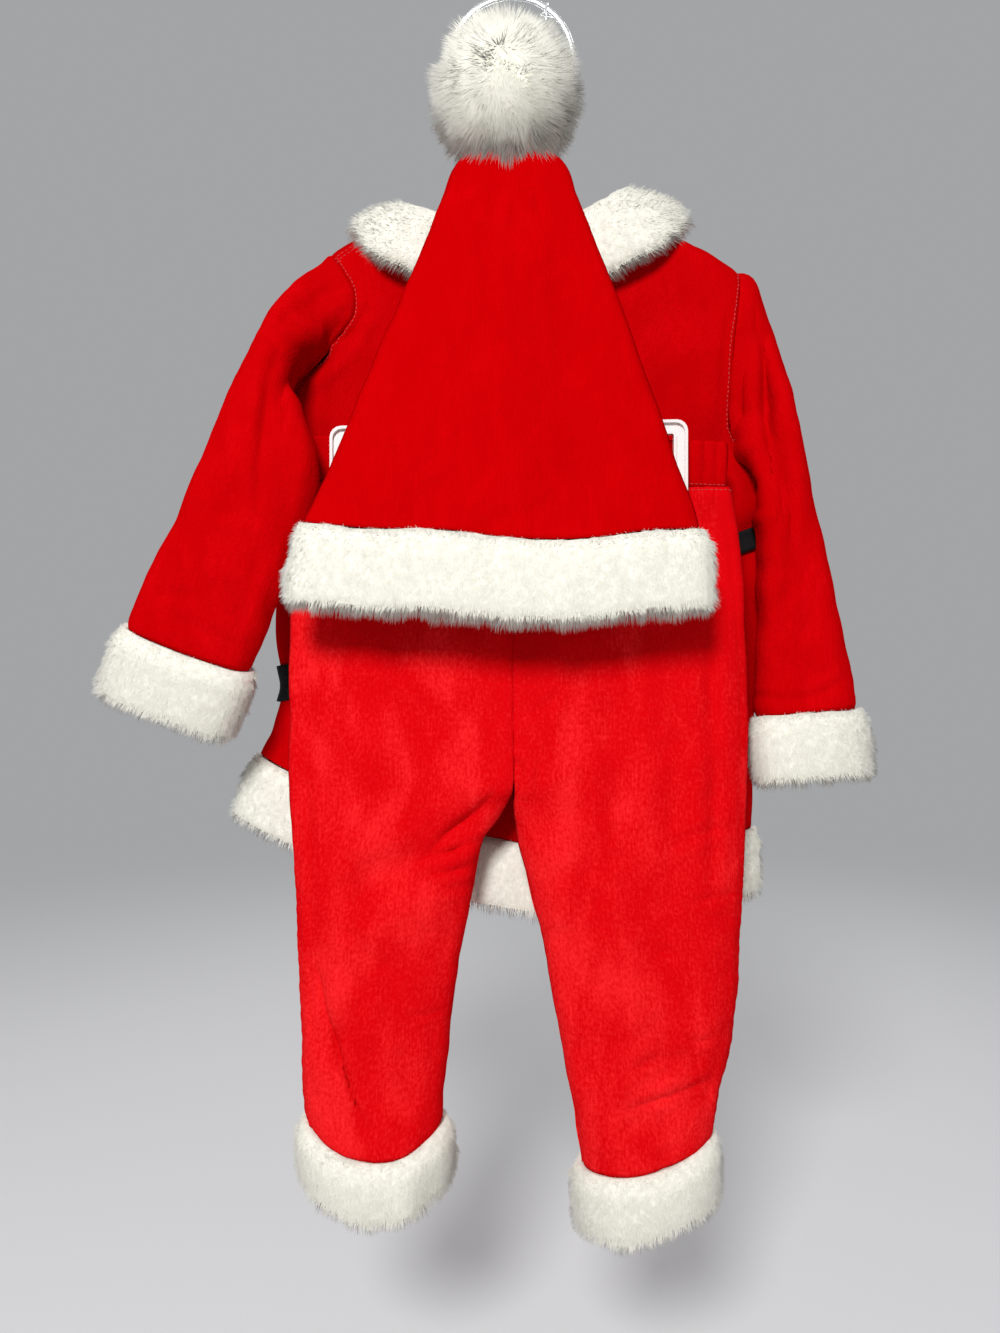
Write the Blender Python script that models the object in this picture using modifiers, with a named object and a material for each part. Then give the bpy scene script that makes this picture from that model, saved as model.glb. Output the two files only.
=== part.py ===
"""A baby's Santa suit on its shop hanger: coat, trousers and hat, with the hanger that holds them.

All sizes below are in millimetres. +X is to the right of someone who looks at the suit, +Z is up and the
coat's back faces -Y. The origin is where the hook bears on its peg. Every cloth table gives the inner face of
the cloth, and the wall is added outwards.
"""
import bmesh
import bpy
import numpy as np

MM = 0.001
CLOTH = 2.0        # wall of the velour, pile included
SEAM = 0.3         # gap between two pieces that are sewn together
FUR = 8.5          # thickness of the fur trims
BELT_WALL = 1.5
NECK_HALF = 62.0   # half the width of the coat's neck
COAT_MID = 8.0     # depth of the coat's side seams
SEWN_HALF = 0.25   # half the distance between a back and its front where they are sewn together

# The coat, row by row: distance down from the shoulder line, height at the left, middle and right, the two
# sides, half the depth, and half the width of the armhole.
COAT = [
    # down  z_left  z_mid  z_right x_left x_right depth open_left open_right
    (0, -149.0, -153.0, -158.0, -105.0, 132.0, 13.0, 8.0, 8.0),
    (8, -158.0, -161.0, -166.0, -99.0, 131.5, 13.0, 9.0, 9.0),
    (28, -180.0, -183.0, -186.0, -90.0, 129.0, 14.0, 11.0, 11.0),
    (50, -202.0, -204.0, -206.0, -104.5, 127.0, 14.0, 11.0, 11.0),
    (74, -224.0, -227.0, -233.0, -122.5, 126.0, 14.0, 9.0, 9.0),
    (93, -247.0, -248.0, -251.0, -130.0, 126.5, 14.5, 5.0, 5.0),
    (104, -257.0, -257.0, -260.0, -132.5, 130.5, 15.0, 0.3, 0.3),
    (142, -312.0, -300.0, -280.0, -135.0, 142.5, 16.0, 0.3, 0.3),
    (184, -377.0, -347.0, -297.0, -136.5, 146.0, 15.0, 0.3, 0.3),
    (199, -398.0, -361.0, -308.0, -132.5, 142.5, 12.0, 0.3, 0.3),
    (214, -413.0, -375.0, -321.0, -136.5, 144.5, 14.5, 0.3, 0.3),
    (262, -427.0, -418.0, -394.0, -141.0, 142.0, 17.0, 0.3, 0.3),
    (306, -434.0, -464.0, -452.0, -144.5, 140.0, 19.0, 0.3, 0.3),
    (326, -438.0, -485.0, -480.0, -146.0, 139.5, 20.0, 0.3, 0.3),
]
COAT_COLUMNS = "down z_left z_mid z_right x_left x_right depth open_left open_right".split()
COAT_ROWS = (0, 3.5, 10, 20, 32, 46, 60, 74, 86, 93, 104, 124, 150, 178, 190, 199, 208, 220, 250, 290, 326)
ARMHOLE_END = 93.0
ARMHOLE_GAP = 0.9  # the sleeve's wall leans at its seam, so it stands a little farther off
UNDERARM_GAP, LEFT_BACK_GAP = 1.5, 2.3  # and farther still under the arm and along the left back
ARMHOLE_LIFT = 3.0  # the underarm seam turns up by this much
BELT_ROWS = (190, 199, 208)
SHOULDER_TOP = -131.5
SHOULDER_FALL = {"left": 0.0082, "right": 0.0052}  # mm of fall for each square mm past the neck
NECK_DROP = {"back": 8.0, "front": 34.0}

# Soft folds of the skirt and the upper back: place across (-1 to 1), width, height, and where they start and
# end. Those that end at the last row run out at the hem.
COAT_FOLDS = [
    # across  width  height  from  to
    (-0.70, 0.16, 3.0, 215, 326),
    (-0.25, 0.20, -3.0, 230, 326),
    (0.20, 0.18, 3.0, 220, 326),
    (0.62, 0.16, -2.5, 225, 326),
    (0.86, 0.10, 2.5, 110, 190),
]

# Sleeves, ring by ring: along, the outer edge, the inner (underarm) edge and half the thickness between them.
SLEEVE_LEFT = [
    # along  x_out   y_out  z_out   x_in    y_in   z_in    half
    (0.00, -106.5, 8.0, -152.0, -134.0, 8.0, -250.0, 9.0),
    (0.09, -115.0, 2.0, -152.5, -137.0, 3.0, -246.0, 9.0),
    (0.18, -126.5, -9.0, -164.0, -134.0, -14.0, -243.0, 9.5),
    (0.28, -137.5, -23.0, -190.0, -123.5, -38.0, -245.0, 10.0),
    (0.38, -145.0, -41.0, -220.0, -107.0, -57.0, -261.0, 9.0),
    (0.50, -157.0, -51.0, -260.5, -104.0, -58.0, -287.0, 9.0),
    (0.62, -170.0, -52.0, -291.5, -109.5, -56.0, -311.0, 9.5),
    (0.76, -185.5, -51.0, -323.5, -122.5, -53.0, -341.0, 10.5),
    (0.90, -200.0, -47.0, -352.0, -136.0, -47.0, -372.5, 11.5),
    (1.00, -205.5, -44.0, -364.5, -143.0, -44.0, -388.0, 12.5),
]
SLEEVE_RIGHT = [
    (0.00, 134.5, 8.0, -158.0, 131.0, 8.0, -253.0, 10.0),
    (0.10, 144.5, 7.0, -171.0, 136.5, 3.0, -261.0, 11.0),
    (0.24, 152.5, 2.0, -203.0, 142.0, -6.0, -275.0, 11.0),
    (0.36, 158.5, -6.0, -233.0, 143.0, -14.0, -294.0, 11.0),
    (0.52, 167.5, -12.0, -287.0, 141.0, -18.0, -327.0, 10.0),
    (0.68, 176.0, -15.0, -328.5, 139.0, -19.5, -361.0, 10.0),
    (0.82, 182.0, -17.0, -363.5, 138.5, -20.5, -386.0, 10.5),
    (0.92, 188.0, -18.0, -389.5, 138.0, -20.5, -403.0, 11.5),
    (1.00, 191.0, -19.0, -410.0, 138.5, -21.0, -414.0, 12.5),
]
SLEEVE_COLUMNS = "along x_out y_out z_out x_in y_in z_in half".split()

# Folds that run along a line in the front view: the line's two ends, its width and how far it stands out
# (or sinks).
LEFT_SLEEVE_FOLDS = [
    # x1    z1      x2      z2     width  out
    (-130.0, -216.0, -128.0, -268.0, 6.0, -4.5),
    (-102.0, -205.0, -118.0, -226.0, 8.0, 2.0),
    (-138.0, -200.0, -145.0, -285.0, 7.0, 2.5),
]
RIGHT_SLEEVE_FOLDS = [
    (148.0, -195.0, 150.0, -300.0, 5.0, -5.0),
    (166.0, -240.0, 178.0, -400.0, 9.0, 2.0),
]
TROUSER_FOLDS = [
    (-3.0, -462.0, -72.0, -498.0, 8.0, -4.0),
    (-8.0, -484.0, -66.0, -520.0, 10.0, 3.0),
    (-112.0, -540.0, -76.0, -632.0, 9.0, -4.0),
    (-98.0, -600.0, -60.0, -642.0, 8.0, 3.0),
    (104.0, -370.0, 102.0, -590.0, 9.0, 3.0),
    (86.0, -380.0, 84.0, -600.0, 8.0, -2.5),
    (104.0, -612.0, 68.0, -624.0, 7.0, -3.5),
    (6.0, -470.0, 46.0, -545.0, 8.0, 2.5),
]

# Trousers: along from the waist casing to the cuff, inner edge, outer edge, depth of the side seam, half the
# depth, how far the inner edge is still open (1 at the centre seam, 0 down the leg) and how far the middle of
# the row hangs below its ends.
TROUSERS_LEFT = [
    # along  x_in    z_in    x_out   z_out   mid   half  open  drop
    (0.00, 0.0, -290.0, -118.0, -285.0, -33.0, 5.0, 1.0, 0.0),
    (0.10, 0.0, -328.0, -120.0, -326.0, -33.5, 5.3, 1.0, 0.0),
    (0.22, 0.0, -372.0, -120.5, -372.0, -37.0, 9.0, 1.0, 0.0),
    (0.34, 0.0, -416.0, -120.0, -424.0, -40.0, 11.0, 1.0, 0.0),
    (0.43, -0.5, -450.0, -119.0, -459.0, -42.0, 12.0, 1.0, 0.0),
    (0.47, -5.0, -462.0, -118.0, -478.0, -42.0, 12.5, 0.3, 0.0),
    (0.53, -16.5, -478.0, -116.0, -504.0, -42.0, 13.0, 0.0, 1.0),
    (0.62, -24.0, -516.0, -114.5, -534.0, -42.0, 14.0, 0.0, 3.0),
    (0.72, -31.0, -551.0, -113.5, -567.0, -42.0, 15.0, 0.0, 5.0),
    (0.84, -36.0, -594.0, -111.5, -600.0, -41.0, 16.0, 0.0, 9.0),
    (0.93, -38.5, -616.0, -110.5, -617.0, -41.0, 18.0, 0.0, 13.0),
    (1.00, -39.0, -631.5, -110.0, -629.5, -40.0, 20.0, 0.0, 15.0),
]
TROUSERS_RIGHT = [
    (0.00, 0.0, -290.0, 118.5, -289.0, -33.0, 5.0, 1.0, 0.0),
    (0.10, 0.0, -328.0, 124.0, -326.0, -33.5, 5.3, 1.0, 0.0),
    (0.22, 0.0, -372.0, 126.0, -372.0, -37.0, 9.0, 1.0, 0.0),
    (0.34, 0.0, -416.0, 126.5, -424.0, -40.0, 11.0, 1.0, 0.0),
    (0.43, 0.5, -450.0, 125.0, -459.0, -42.0, 12.0, 1.0, 0.0),
    (0.47, 1.5, -463.0, 124.0, -478.0, -42.0, 12.5, 0.3, 0.0),
    (0.53, 4.5, -484.0, 123.0, -504.0, -42.0, 13.0, 0.0, 0.0),
    (0.62, 13.0, -517.0, 121.0, -534.0, -42.0, 14.0, 0.0, 1.0),
    (0.72, 20.5, -551.0, 119.0, -567.0, -42.0, 15.0, 0.0, 2.0),
    (0.84, 28.5, -596.0, 113.5, -602.0, -41.0, 16.0, 0.0, 3.0),
    (0.93, 34.0, -624.0, 108.5, -621.0, -41.0, 18.0, 0.0, 4.0),
    (1.00, 38.5, -655.0, 105.5, -637.0, -40.0, 20.0, 0.0, 5.0),
]
TROUSER_COLUMNS = "along x_in z_in x_out z_out mid half open drop".split()
TROUSER_ROWS = np.array([
    0, 0.05, 0.1, 0.16, 0.22, 0.28, 0.34, 0.39, 0.43, 0.46, 0.49, 0.53, 0.59, 0.65, 0.71, 0.77, 0.83, 0.88,
    0.93, 0.97, 1.0,
])
WAIST_SIDES, WAIST_DEPTH, WAIST_HALF = (-116.0, 115.5), -33.0, 5.0
WAIST_TOP = {"left": -261.0, "right": -264.0}
WAIST_FOOT = {"left": -285.0, "right": -289.0}
GATHER, GATHER_PITCH = 0.5, 19.5

# Hat, from the gathered tip to the lower edge under the fur band.
HAT = [
    # z      x_left  x_right  mid   half
    (-108.7, -11.0, 6.0, -57.0, 1.2),
    (-114.0, -20.0, 15.0, -57.0, 2.5),
    (-124.0, -30.0, 26.5, -58.0, 4.0),
    (-142.0, -36.5, 33.0, -60.0, 5.0),
    (-170.0, -47.0, 43.5, -63.0, 6.0),
    (-234.0, -72.0, 66.0, -70.0, 8.0),
    (-276.0, -88.5, 79.5, -75.0, 8.5),
    (-306.0, -100.5, 89.5, -79.0, 8.0),
    (-319.0, -105.0, 93.0, -80.0, 7.5),
]
HAT_COLUMNS = "z x_left x_right mid half".split()
HAT_ROWS = np.array([-108.7, -111, -115, -124, -140, -160, -185, -210, -235, -260, -285, -305, -318.7])
HAT_FOLDS = [
    (-20.0, -135.0, -52.0, -300.0, 9.0, 2.0),
    (22.0, -140.0, 30.0, -300.0, 12.0, -2.0),
]
# The hat's lower edge hangs in a soft wave: place across and how far it is above the table's last row.
HAT_EDGE = [(-105.0, 4.5), (-76.0, 1.5), (-32.0, 0.0), (-2.0, -3.8), (38.0, -3.8), (69.0, 0.5), (93.0, 1.5)]
HAT_BAND_HEIGHT = 44.0
THICK_FUR = 9.0    # the hat band's and the leg cuffs' fur

# The collar from one centre-front end, over the left shoulder, round the back and back to the other end: the
# sewn edge at the neck and the free edge of each section.
COLLAR = [
    # x_neck y_neck  z_neck  x_free  y_free  z_free  thick
    (-1.5, 25.0, -164.0, -4.0, 31.0, -192.0, 8.0),
    (-30.0, 25.0, -155.0, -46.0, 31.0, -180.0, 9.0),
    (-54.0, 24.5, -137.0, -80.0, 30.0, -155.0, 9.5),
    (-62.0, 9.0, -121.0, -94.0, 10.0, -130.0, 9.5),
    (-49.0, -8.5, -127.0, -79.0, -17.5, -158.0, 9.5),
    (-22.0, -6.4, -134.0, -34.0, -20.0, -176.0, 9.5),
    (4.0, -6.2, -136.0, 6.0, -20.5, -180.0, 9.5),
    (28.0, -6.4, -132.0, 44.0, -20.0, -174.0, 9.5),
    (52.0, -8.5, -121.0, 88.0, -18.0, -151.0, 10.0),
    (63.0, 9.0, -113.0, 103.0, 11.0, -127.0, 11.0),
    (54.0, 24.5, -133.0, 82.0, 30.0, -152.0, 10.0),
    (30.0, 25.0, -155.0, 46.0, 31.0, -180.0, 9.0),
    (-0.5, 25.0, -164.0, 2.0, 31.0, -192.0, 8.0),
]

# Outline of a fur trim's section: out from the cloth and down from the seam, as shares of its thickness and
# height.
FUR_SECTION = [
    (0.00, 0.02), (0.45, 0.00), (0.85, 0.10), (1.00, 0.35),
    (0.98, 0.70), (0.78, 0.95), (0.35, 1.00), (0.00, 0.94),
]
CUFF_HEIGHT = {"left": 42.0, "right": 40.0}
LEG_CUFF_HEIGHT = {"left": 35.0, "right": 38.0}
HEM_HEIGHT = 42.0

POMPOM_CENTRE = (-3.8, -58.0, -86.0)
POMPOM_CORE, POMPOM_REACH, POMPOM_POINTS = 22.0, 40.0, 125

HOOK_RADIUS, HOOK_WIRE = 35.0, 1.7
HOOK_CENTRE_Z = HOOK_WIRE - HOOK_RADIUS
NECK_FOOT = -118.0
ARM_WIRE, ARM_BELOW = 2.6, 1.1     # half the arms' thickness and how far they lie under the shoulders
STEM_WIRE, PIN_WIRE = 2.0, 0.5
FRAME_DEPTH = -44.0
FRAME_OUTER = (-98.5, 94.0, -255.5, -318.0)    # left, right, top, bottom
FRAME_BAR, FRAME_HALF, FRAME_CORNER = 7.6, 2.0, 6.0
FRAME_TILT = 0.019
CLIP_HALF, CLIP_WALL, CLIP_FOOT = 9.0, 2.2, -284.0
CLIP_PLACES = {"clip_left": -52.0, "clip_right": 54.0}

COLOURS = {
    # name: colour, roughness
    "red_velour": ((0.62, 0.008, 0.012), 0.85),
    "white_fur": ((0.86, 0.84, 0.80), 0.9),
    "black_belt": ((0.012, 0.012, 0.013), 0.6),
    "white_plastic": ((0.82, 0.82, 0.80), 0.3),
}


def read(table, columns, at):
    """The table's columns at the places `at` of its first column, by a smooth cubic through its rows."""
    t = np.asarray(table, float)
    key = t[:, 0] * (1 if t[-1, 0] > t[0, 0] else -1)
    at = np.asarray(at, float) * (1 if t[-1, 0] > t[0, 0] else -1)
    slope = np.gradient(t, key, axis=0)
    i = np.clip(np.searchsorted(key, at, side="right") - 1, 0, len(key) - 2)
    h = (key[i + 1] - key[i])[..., None]
    u = (at - key[i])[..., None] / h
    value = (
        (1 + 2 * u) * (1 - u) ** 2 * t[i]
        + u * (1 - u) ** 2 * h * slope[i]
        + u * u * (3 - 2 * u) * t[i + 1]
        + u * u * (u - 1) * h * slope[i + 1]
    )
    return dict(zip(columns, np.moveaxis(value, -1, 0)))


def unit(v):
    """Vectors of length 1."""
    return v / np.maximum(np.linalg.norm(v, axis=-1, keepdims=True), 1e-9)


def ease(x):
    """0 below 0, 1 above 1 and a soft step between."""
    x = np.clip(x, 0.0, 1.0)
    return x * x * (3 - 2 * x)


def folds(table, x, z):
    """How far the folds of a table stand out at (x, z): a soft bell across each line, fading at its ends."""
    out = np.zeros(np.broadcast(x, z).shape)
    for x1, z1, x2, z2, width, height in table:
        dx, dz = x2 - x1, z2 - z1
        length = np.hypot(dx, dz)
        along = ((x - x1) * dx + (z - z1) * dz) / length
        across = ((x - x1) * dz - (z - z1) * dx) / length
        past = np.maximum(np.maximum(-along, along - length), 0.0)
        out = out + height * np.exp(-(across**2 + past**2) / width**2)
    return out


def outward(points, flip, closed=False):
    """Unit normals of a grid of points, from its own neighbours."""
    down = np.gradient(points, axis=0)
    if closed:
        side = (np.roll(points, -1, axis=1) - np.roll(points, 1, axis=1)) / 2
    else:
        side = np.gradient(points, axis=1)
    n = np.cross(down, side)
    n /= np.maximum(np.linalg.norm(n, axis=2, keepdims=True), 1e-9)
    return -n if flip else n


def shoulder(x, face):
    """Height of the coat's upper edge: two rounded shoulders and the neck's curve between them."""
    fall = np.where(x < 0, SHOULDER_FALL["left"], SHOULDER_FALL["right"])
    rounded = SHOULDER_TOP - fall * np.maximum(np.abs(x) - NECK_HALF, 0.0) ** 2
    inside = np.clip(1 - (x / NECK_HALF) ** 2, 0.0, 1.0)
    return rounded - NECK_DROP[face] * inside


def coat(across, down, face):
    """A point of the coat's cloth: `across` from -1 to 1, `down` in mm, on its back (-Y) or front (+Y).

    A row is lens-shaped from side to side. Over the first 20 mm it closes to a ridge at the shoulders.
    """
    across, down = np.broadcast_arrays(np.asarray(across, float), np.asarray(down, float))
    row = read(COAT, COAT_COLUMNS, down)
    top = read(COAT, COAT_COLUMNS, np.zeros_like(down))

    def height(r):
        middle = (r["z_left"] + r["z_right"]) / 2
        return middle + across * (r["z_right"] - r["z_left"]) / 2 + (r["z_mid"] - middle) * (1 - across**2)

    x = (row["x_left"] * (1 - across) + row["x_right"] * (1 + across)) / 2
    x_top = (top["x_left"] * (1 - across) + top["x_right"] * (1 + across)) / 2
    z = height(row) + (shoulder(x_top, face) - height(top)) * (1 - ease(down / 110.0))
    edge = np.maximum(np.where(across < 0, row["open_left"], row["open_right"]), SEWN_HALF)
    body = edge + (row["depth"] - edge) * (1 - np.abs(across) ** 2.6) ** 0.55
    ridge = np.sqrt(1 - (1 - np.clip(down / 20.0, 0, 1)) ** 2)
    neck = ease((NECK_HALF + 8.0 - np.abs(x_top)) / 14.0)
    body = SEWN_HALF + (body - SEWN_HALF) * (ridge + (1 - ridge) * neck)
    for place, width, out, start, end in COAT_FOLDS:
        bell = np.exp(-(((across - place) / width) ** 2))
        grow = ease((down - start) / (0.4 * (end - start)))
        if end < COAT_ROWS[-1]:
            grow = grow * (1 - ease((down - end + 20) / 20))
        body = body + out * bell * grow
    body = np.maximum(body, SEWN_HALF)
    side = -1.0 if face == "back" else 1.0
    return np.stack([x, COAT_MID + side * body, z], axis=-1)


def armhole(side, angles):
    """The sleeve's first ring: down the coat's back edge and up its front edge."""
    across = -1.0 if side == "left" else 1.0
    down = ARMHOLE_END * (1 - np.cos(angles)) / 2
    back = coat(np.full_like(down, across), down, "back")
    front = coat(np.full_like(down, across), down, "front")
    ring = np.where((np.sin(angles) >= 0)[:, None], back, front)
    ring[np.abs(np.sin(angles)) < 1e-6, 1] = COAT_MID
    low = np.maximum(-np.cos(angles), 0)
    near = np.maximum(np.sin(angles), 0) ** 0.5 if side == "left" else 0.0
    ring[:, 0] += (ARMHOLE_GAP + UNDERARM_GAP * low + LEFT_BACK_GAP * near) * across
    ring[:, 2] += ARMHOLE_LIFT * ease((-np.cos(angles) - 0.6) / 0.4)
    return ring


def sleeve(side, along, angles):
    """A sleeve's cloth: rings square to its path between its outer and inner edge.

    Over its first fifth they grow out of the armhole, which the sleeve first leaves sideways, less so under
    the arm. The left sleeve swings towards -Y, and its turn is evened out by means of neighbouring points.
    """
    r = read(SLEEVE_LEFT if side == "left" else SLEEVE_RIGHT, SLEEVE_COLUMNS, along)
    outer = np.stack([r["x_out"], r["y_out"], r["z_out"]], axis=-1)
    inner = np.stack([r["x_in"], r["y_in"], r["z_in"]], axis=-1)
    centre, half_width = (outer + inner) / 2, (outer - inner) / 2
    path = unit(np.gradient(centre, along, axis=0))
    thick = unit(np.cross(half_width, path))
    thick = thick * (1.0 if side == "left" else -1.0)
    c, s = np.cos(angles)[None, :, None], np.sin(angles)[None, :, None]
    c = np.sign(c) * np.abs(c) ** 0.9
    s = np.sign(s) * np.abs(s) ** 0.75
    ring = centre[:, None] + c * half_width[:, None]
    stand = folds(LEFT_SLEEVE_FOLDS if side == "left" else RIGHT_SLEEVE_FOLDS, ring[..., 0], ring[..., 2])
    ring = ring + thick[:, None] * (s * r["half"][:, None, None] + np.maximum(s, 0) * stand[..., None])
    grown = ease(along / 0.22)[:, None, None]
    underarm = ease((-np.cos(angles) - 0.7) / 0.3)[None, :]
    step = 5.0 * np.clip(along / 0.06, 0, 1)[:, None] * (1 - 0.6 * underarm)
    lean = np.maximum(np.sin(angles), 0)[:, None] * (1.0 if side == "left" else 0.0)
    way = np.array([-1.0 if side == "left" else 1.0, 0.0, 0.0]) + lean * np.array([0.4, -0.8, 0.0])
    root = armhole(side, angles)[None] + step[..., None] * way[None]
    points = root * (1 - grown) + ring * grown
    if side == "left":
        turn = (ease(along / 0.1) * (1 - ease((along - 0.3) / 0.2)))[:, None, None]
        for _ in range(3):
            points = points + turn * (neighbours(points) - points)
    return points


def neighbours(ring):
    """The mean of each point's four neighbours on a closed tube; the two end rows stay as they are."""
    mean = ring.copy()
    round_ = np.roll(ring, 1, axis=1) + np.roll(ring, -1, axis=1)
    mean[1:-1] = (ring[2:] + ring[:-2] + round_[1:-1]) / 4
    return mean


def trousers(side, face, along, across):
    """A leg panel: `across` from 0 at the centre or inside-leg seam to 1 at the side seam.

    Above the crotch a row is half a lens, thickest at the centre seam. Below it is a whole one.
    """
    r = read(TROUSERS_LEFT if side == "left" else TROUSERS_RIGHT, TROUSER_COLUMNS, along)
    col = {k: v[:, None] for k, v in r.items()}
    u = np.asarray(across, float)[None, :]
    sign = -1.0 if side == "left" else 1.0
    x_in = sign * np.maximum(sign * col["x_in"], 0.0) + sign * SEAM / 2
    x = x_in + (col["x_out"] - x_in) * u
    still = np.clip(col["open"], 0, 1)
    wide = (1 - u**2.6) ** 0.55
    round_ = (1 - np.abs(2 * u - 1) ** 2.4) ** 0.55
    half = SEWN_HALF + (col["half"] - SEWN_HALF) * (still * wide + (1 - still) * round_)
    z = col["z_in"] + (col["z_out"] - col["z_in"]) * u
    z = z - (1 if face == "back" else -0.5) * np.maximum(col["drop"], 0) * (1 - (2 * u - 1) ** 2)
    out = folds(TROUSER_FOLDS, x, z) * ease(u * 6) * ease((1 - u) * 6)
    half = np.maximum(half + (out if face == "back" else 0.5 * out), SEWN_HALF)
    y = col["mid"] + (-half if face == "back" else half)
    return np.stack([x, y, z + 0 * x], axis=-1)


def waist(rows, columns):
    """The elastic casing, a flat gathered ring: rows from its upper edge (0) to its stitch line (1)."""
    v, a = np.asarray(rows)[:, None], np.asarray(columns)[None, :]
    c, s = np.cos(a), np.sin(a)
    c = np.sign(c) * np.abs(c) ** 0.9
    s = np.sign(s) * np.abs(s) ** 0.6
    left, right = WAIST_SIDES
    share = (1 + c) / 2
    x = left + (right - left) * share
    top = WAIST_TOP["left"] * (1 - share) + WAIST_TOP["right"] * share
    foot = WAIST_FOOT["left"] * (1 - share) + WAIST_FOOT["right"] * share + 2 * SEAM
    z = top + (foot - top) * v
    gather = GATHER * np.cos(2 * np.pi * x / GATHER_PITCH)
    y = WAIST_DEPTH - s * (WAIST_HALF + gather * np.sqrt(np.abs(s)))
    return np.stack([x + 0 * v, y + 0 * v, z], axis=-1)


def hat(face, z, across):
    """A cone panel of the hat: `across` from -1 at its left seam to 1 at its right seam."""
    r = read(HAT, HAT_COLUMNS, z)
    col = {k: v[:, None] for k, v in r.items()}
    u, z = np.asarray(across, float)[None, :], np.asarray(z)[:, None]
    x = (col["x_left"] * (1 - u) + col["x_right"] * (1 + u)) / 2
    half = SEWN_HALF + (col["half"] - SEWN_HALF) * (1 - np.abs(u) ** 2.2) ** 0.6
    half = half + folds(HAT_FOLDS, x, z) * (1 - u**4)
    y = col["mid"] + np.maximum(half, SEWN_HALF) * (-1 if face == "back" else 1)
    rise = read(HAT_EDGE, ("x", "rise"), x)["rise"] * ease((-280.0 - z) / 38.0)
    return np.stack([x, y, z + rise], axis=-1)


def material(name):
    """A Principled material of one plain colour."""
    colour, rough = COLOURS[name]
    m = bpy.data.materials.get(name) or bpy.data.materials.new(name)
    m.use_nodes = True
    shader = m.node_tree.nodes["Principled BSDF"]
    shader.inputs["Base Color"].default_value = (*colour, 1.0)
    shader.inputs["Roughness"].default_value = rough
    return m


def mesh_object(name, points, faces, colour):
    """One named object from points in mm, with its own material."""
    mesh = bpy.data.meshes.new(name)
    mesh.from_pydata([tuple(p) for p in np.asarray(points).reshape(-1, 3) * MM], [], faces)
    obj = bpy.data.objects.new(name, mesh)
    own = material(colour).copy()
    own.name = name + "_" + colour
    mesh.materials.append(own)
    SUIT.objects.link(obj)
    return obj


def grid_faces(rows, columns, closed=False, flip=False):
    """Quads between the rows and columns of a grid."""
    faces = []
    for i in range(rows - 1):
        for j in range(columns if closed else columns - 1):
            k = (j + 1) % columns
            quad = (i * columns + j, (i + 1) * columns + j, (i + 1) * columns + k, i * columns + k)
            faces.append(quad[::-1] if flip else quad)
    return faces


def cloth(name, points, colour="red_velour", closed=False, flip=False, wall=CLOTH):
    """An open sheet with its wall added outwards."""
    obj = mesh_object(name, points, grid_faces(*points.shape[:2], closed, flip), colour)
    shell = obj.modifiers.new("wall", "SOLIDIFY")
    shell.thickness = wall * MM
    shell.offset = 1.0
    return obj


def trim(name, points, colour="white_fur", closed=True, flip=False):
    """A strip swept through sections: points[i, j] is corner j of section i. An open strip gets flat ends."""
    count, corners = points.shape[:2]
    faces = []
    for i in range(count if closed else count - 1):
        k = (i + 1) % count
        for j in range(corners):
            m = (j + 1) % corners
            quad = (i * corners + j, k * corners + j, k * corners + m, i * corners + m)
            faces.append(quad[::-1] if flip else quad)
    if not closed:
        first = tuple(range(corners))
        last = tuple((count - 1) * corners + j for j in range(corners))
        faces += [first[::-1], last] if flip else [first, last[::-1]]
    return mesh_object(name, points, faces, colour)


def fur_sections(loop, out, down, height, thick=FUR):
    """Sections of a fur trim that hangs from the points of a loop."""
    section = np.asarray(FUR_SECTION)
    n = section[:, 0][None, :, None] * thick
    s = section[:, 1][None, :, None] * height + SEAM
    return loop[:, None] + out[:, None] * n + down[:, None] * s


def cuff_frame(last, before):
    """Outward and downward directions round the last ring of a tube."""
    centre = last.mean(axis=0)
    axis = unit(centre - before.mean(axis=0))
    tangent = np.roll(last, -1, axis=0) - np.roll(last, 1, axis=0)
    out = unit(np.cross(tangent, axis))
    if np.sum(out * (last - centre)) < 0:
        out = -out
    down = unit(0.4 * unit(last - before) + axis)
    out = unit(out - down * np.sum(out * down, axis=1, keepdims=True))
    return out, down


def tube(name, points, radius, resolution=2):
    """A round bar along points in mm: a curve with a bevel and filled ends."""
    curve = bpy.data.curves.new(name, "CURVE")
    curve.dimensions = "3D"
    curve.bevel_depth = radius * MM
    curve.bevel_resolution = resolution
    curve.use_fill_caps = True
    line = curve.splines.new("POLY")
    line.points.add(len(points) - 1)
    for p, q in zip(line.points, points):
        p.co = (q[0] * MM, q[1] * MM, q[2] * MM, 1.0)
    obj = bpy.data.objects.new(name, curve)
    own = material("white_plastic").copy()
    own.name = name + "_white_plastic"
    curve.materials.append(own)
    SUIT.objects.link(obj)
    return obj


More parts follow.
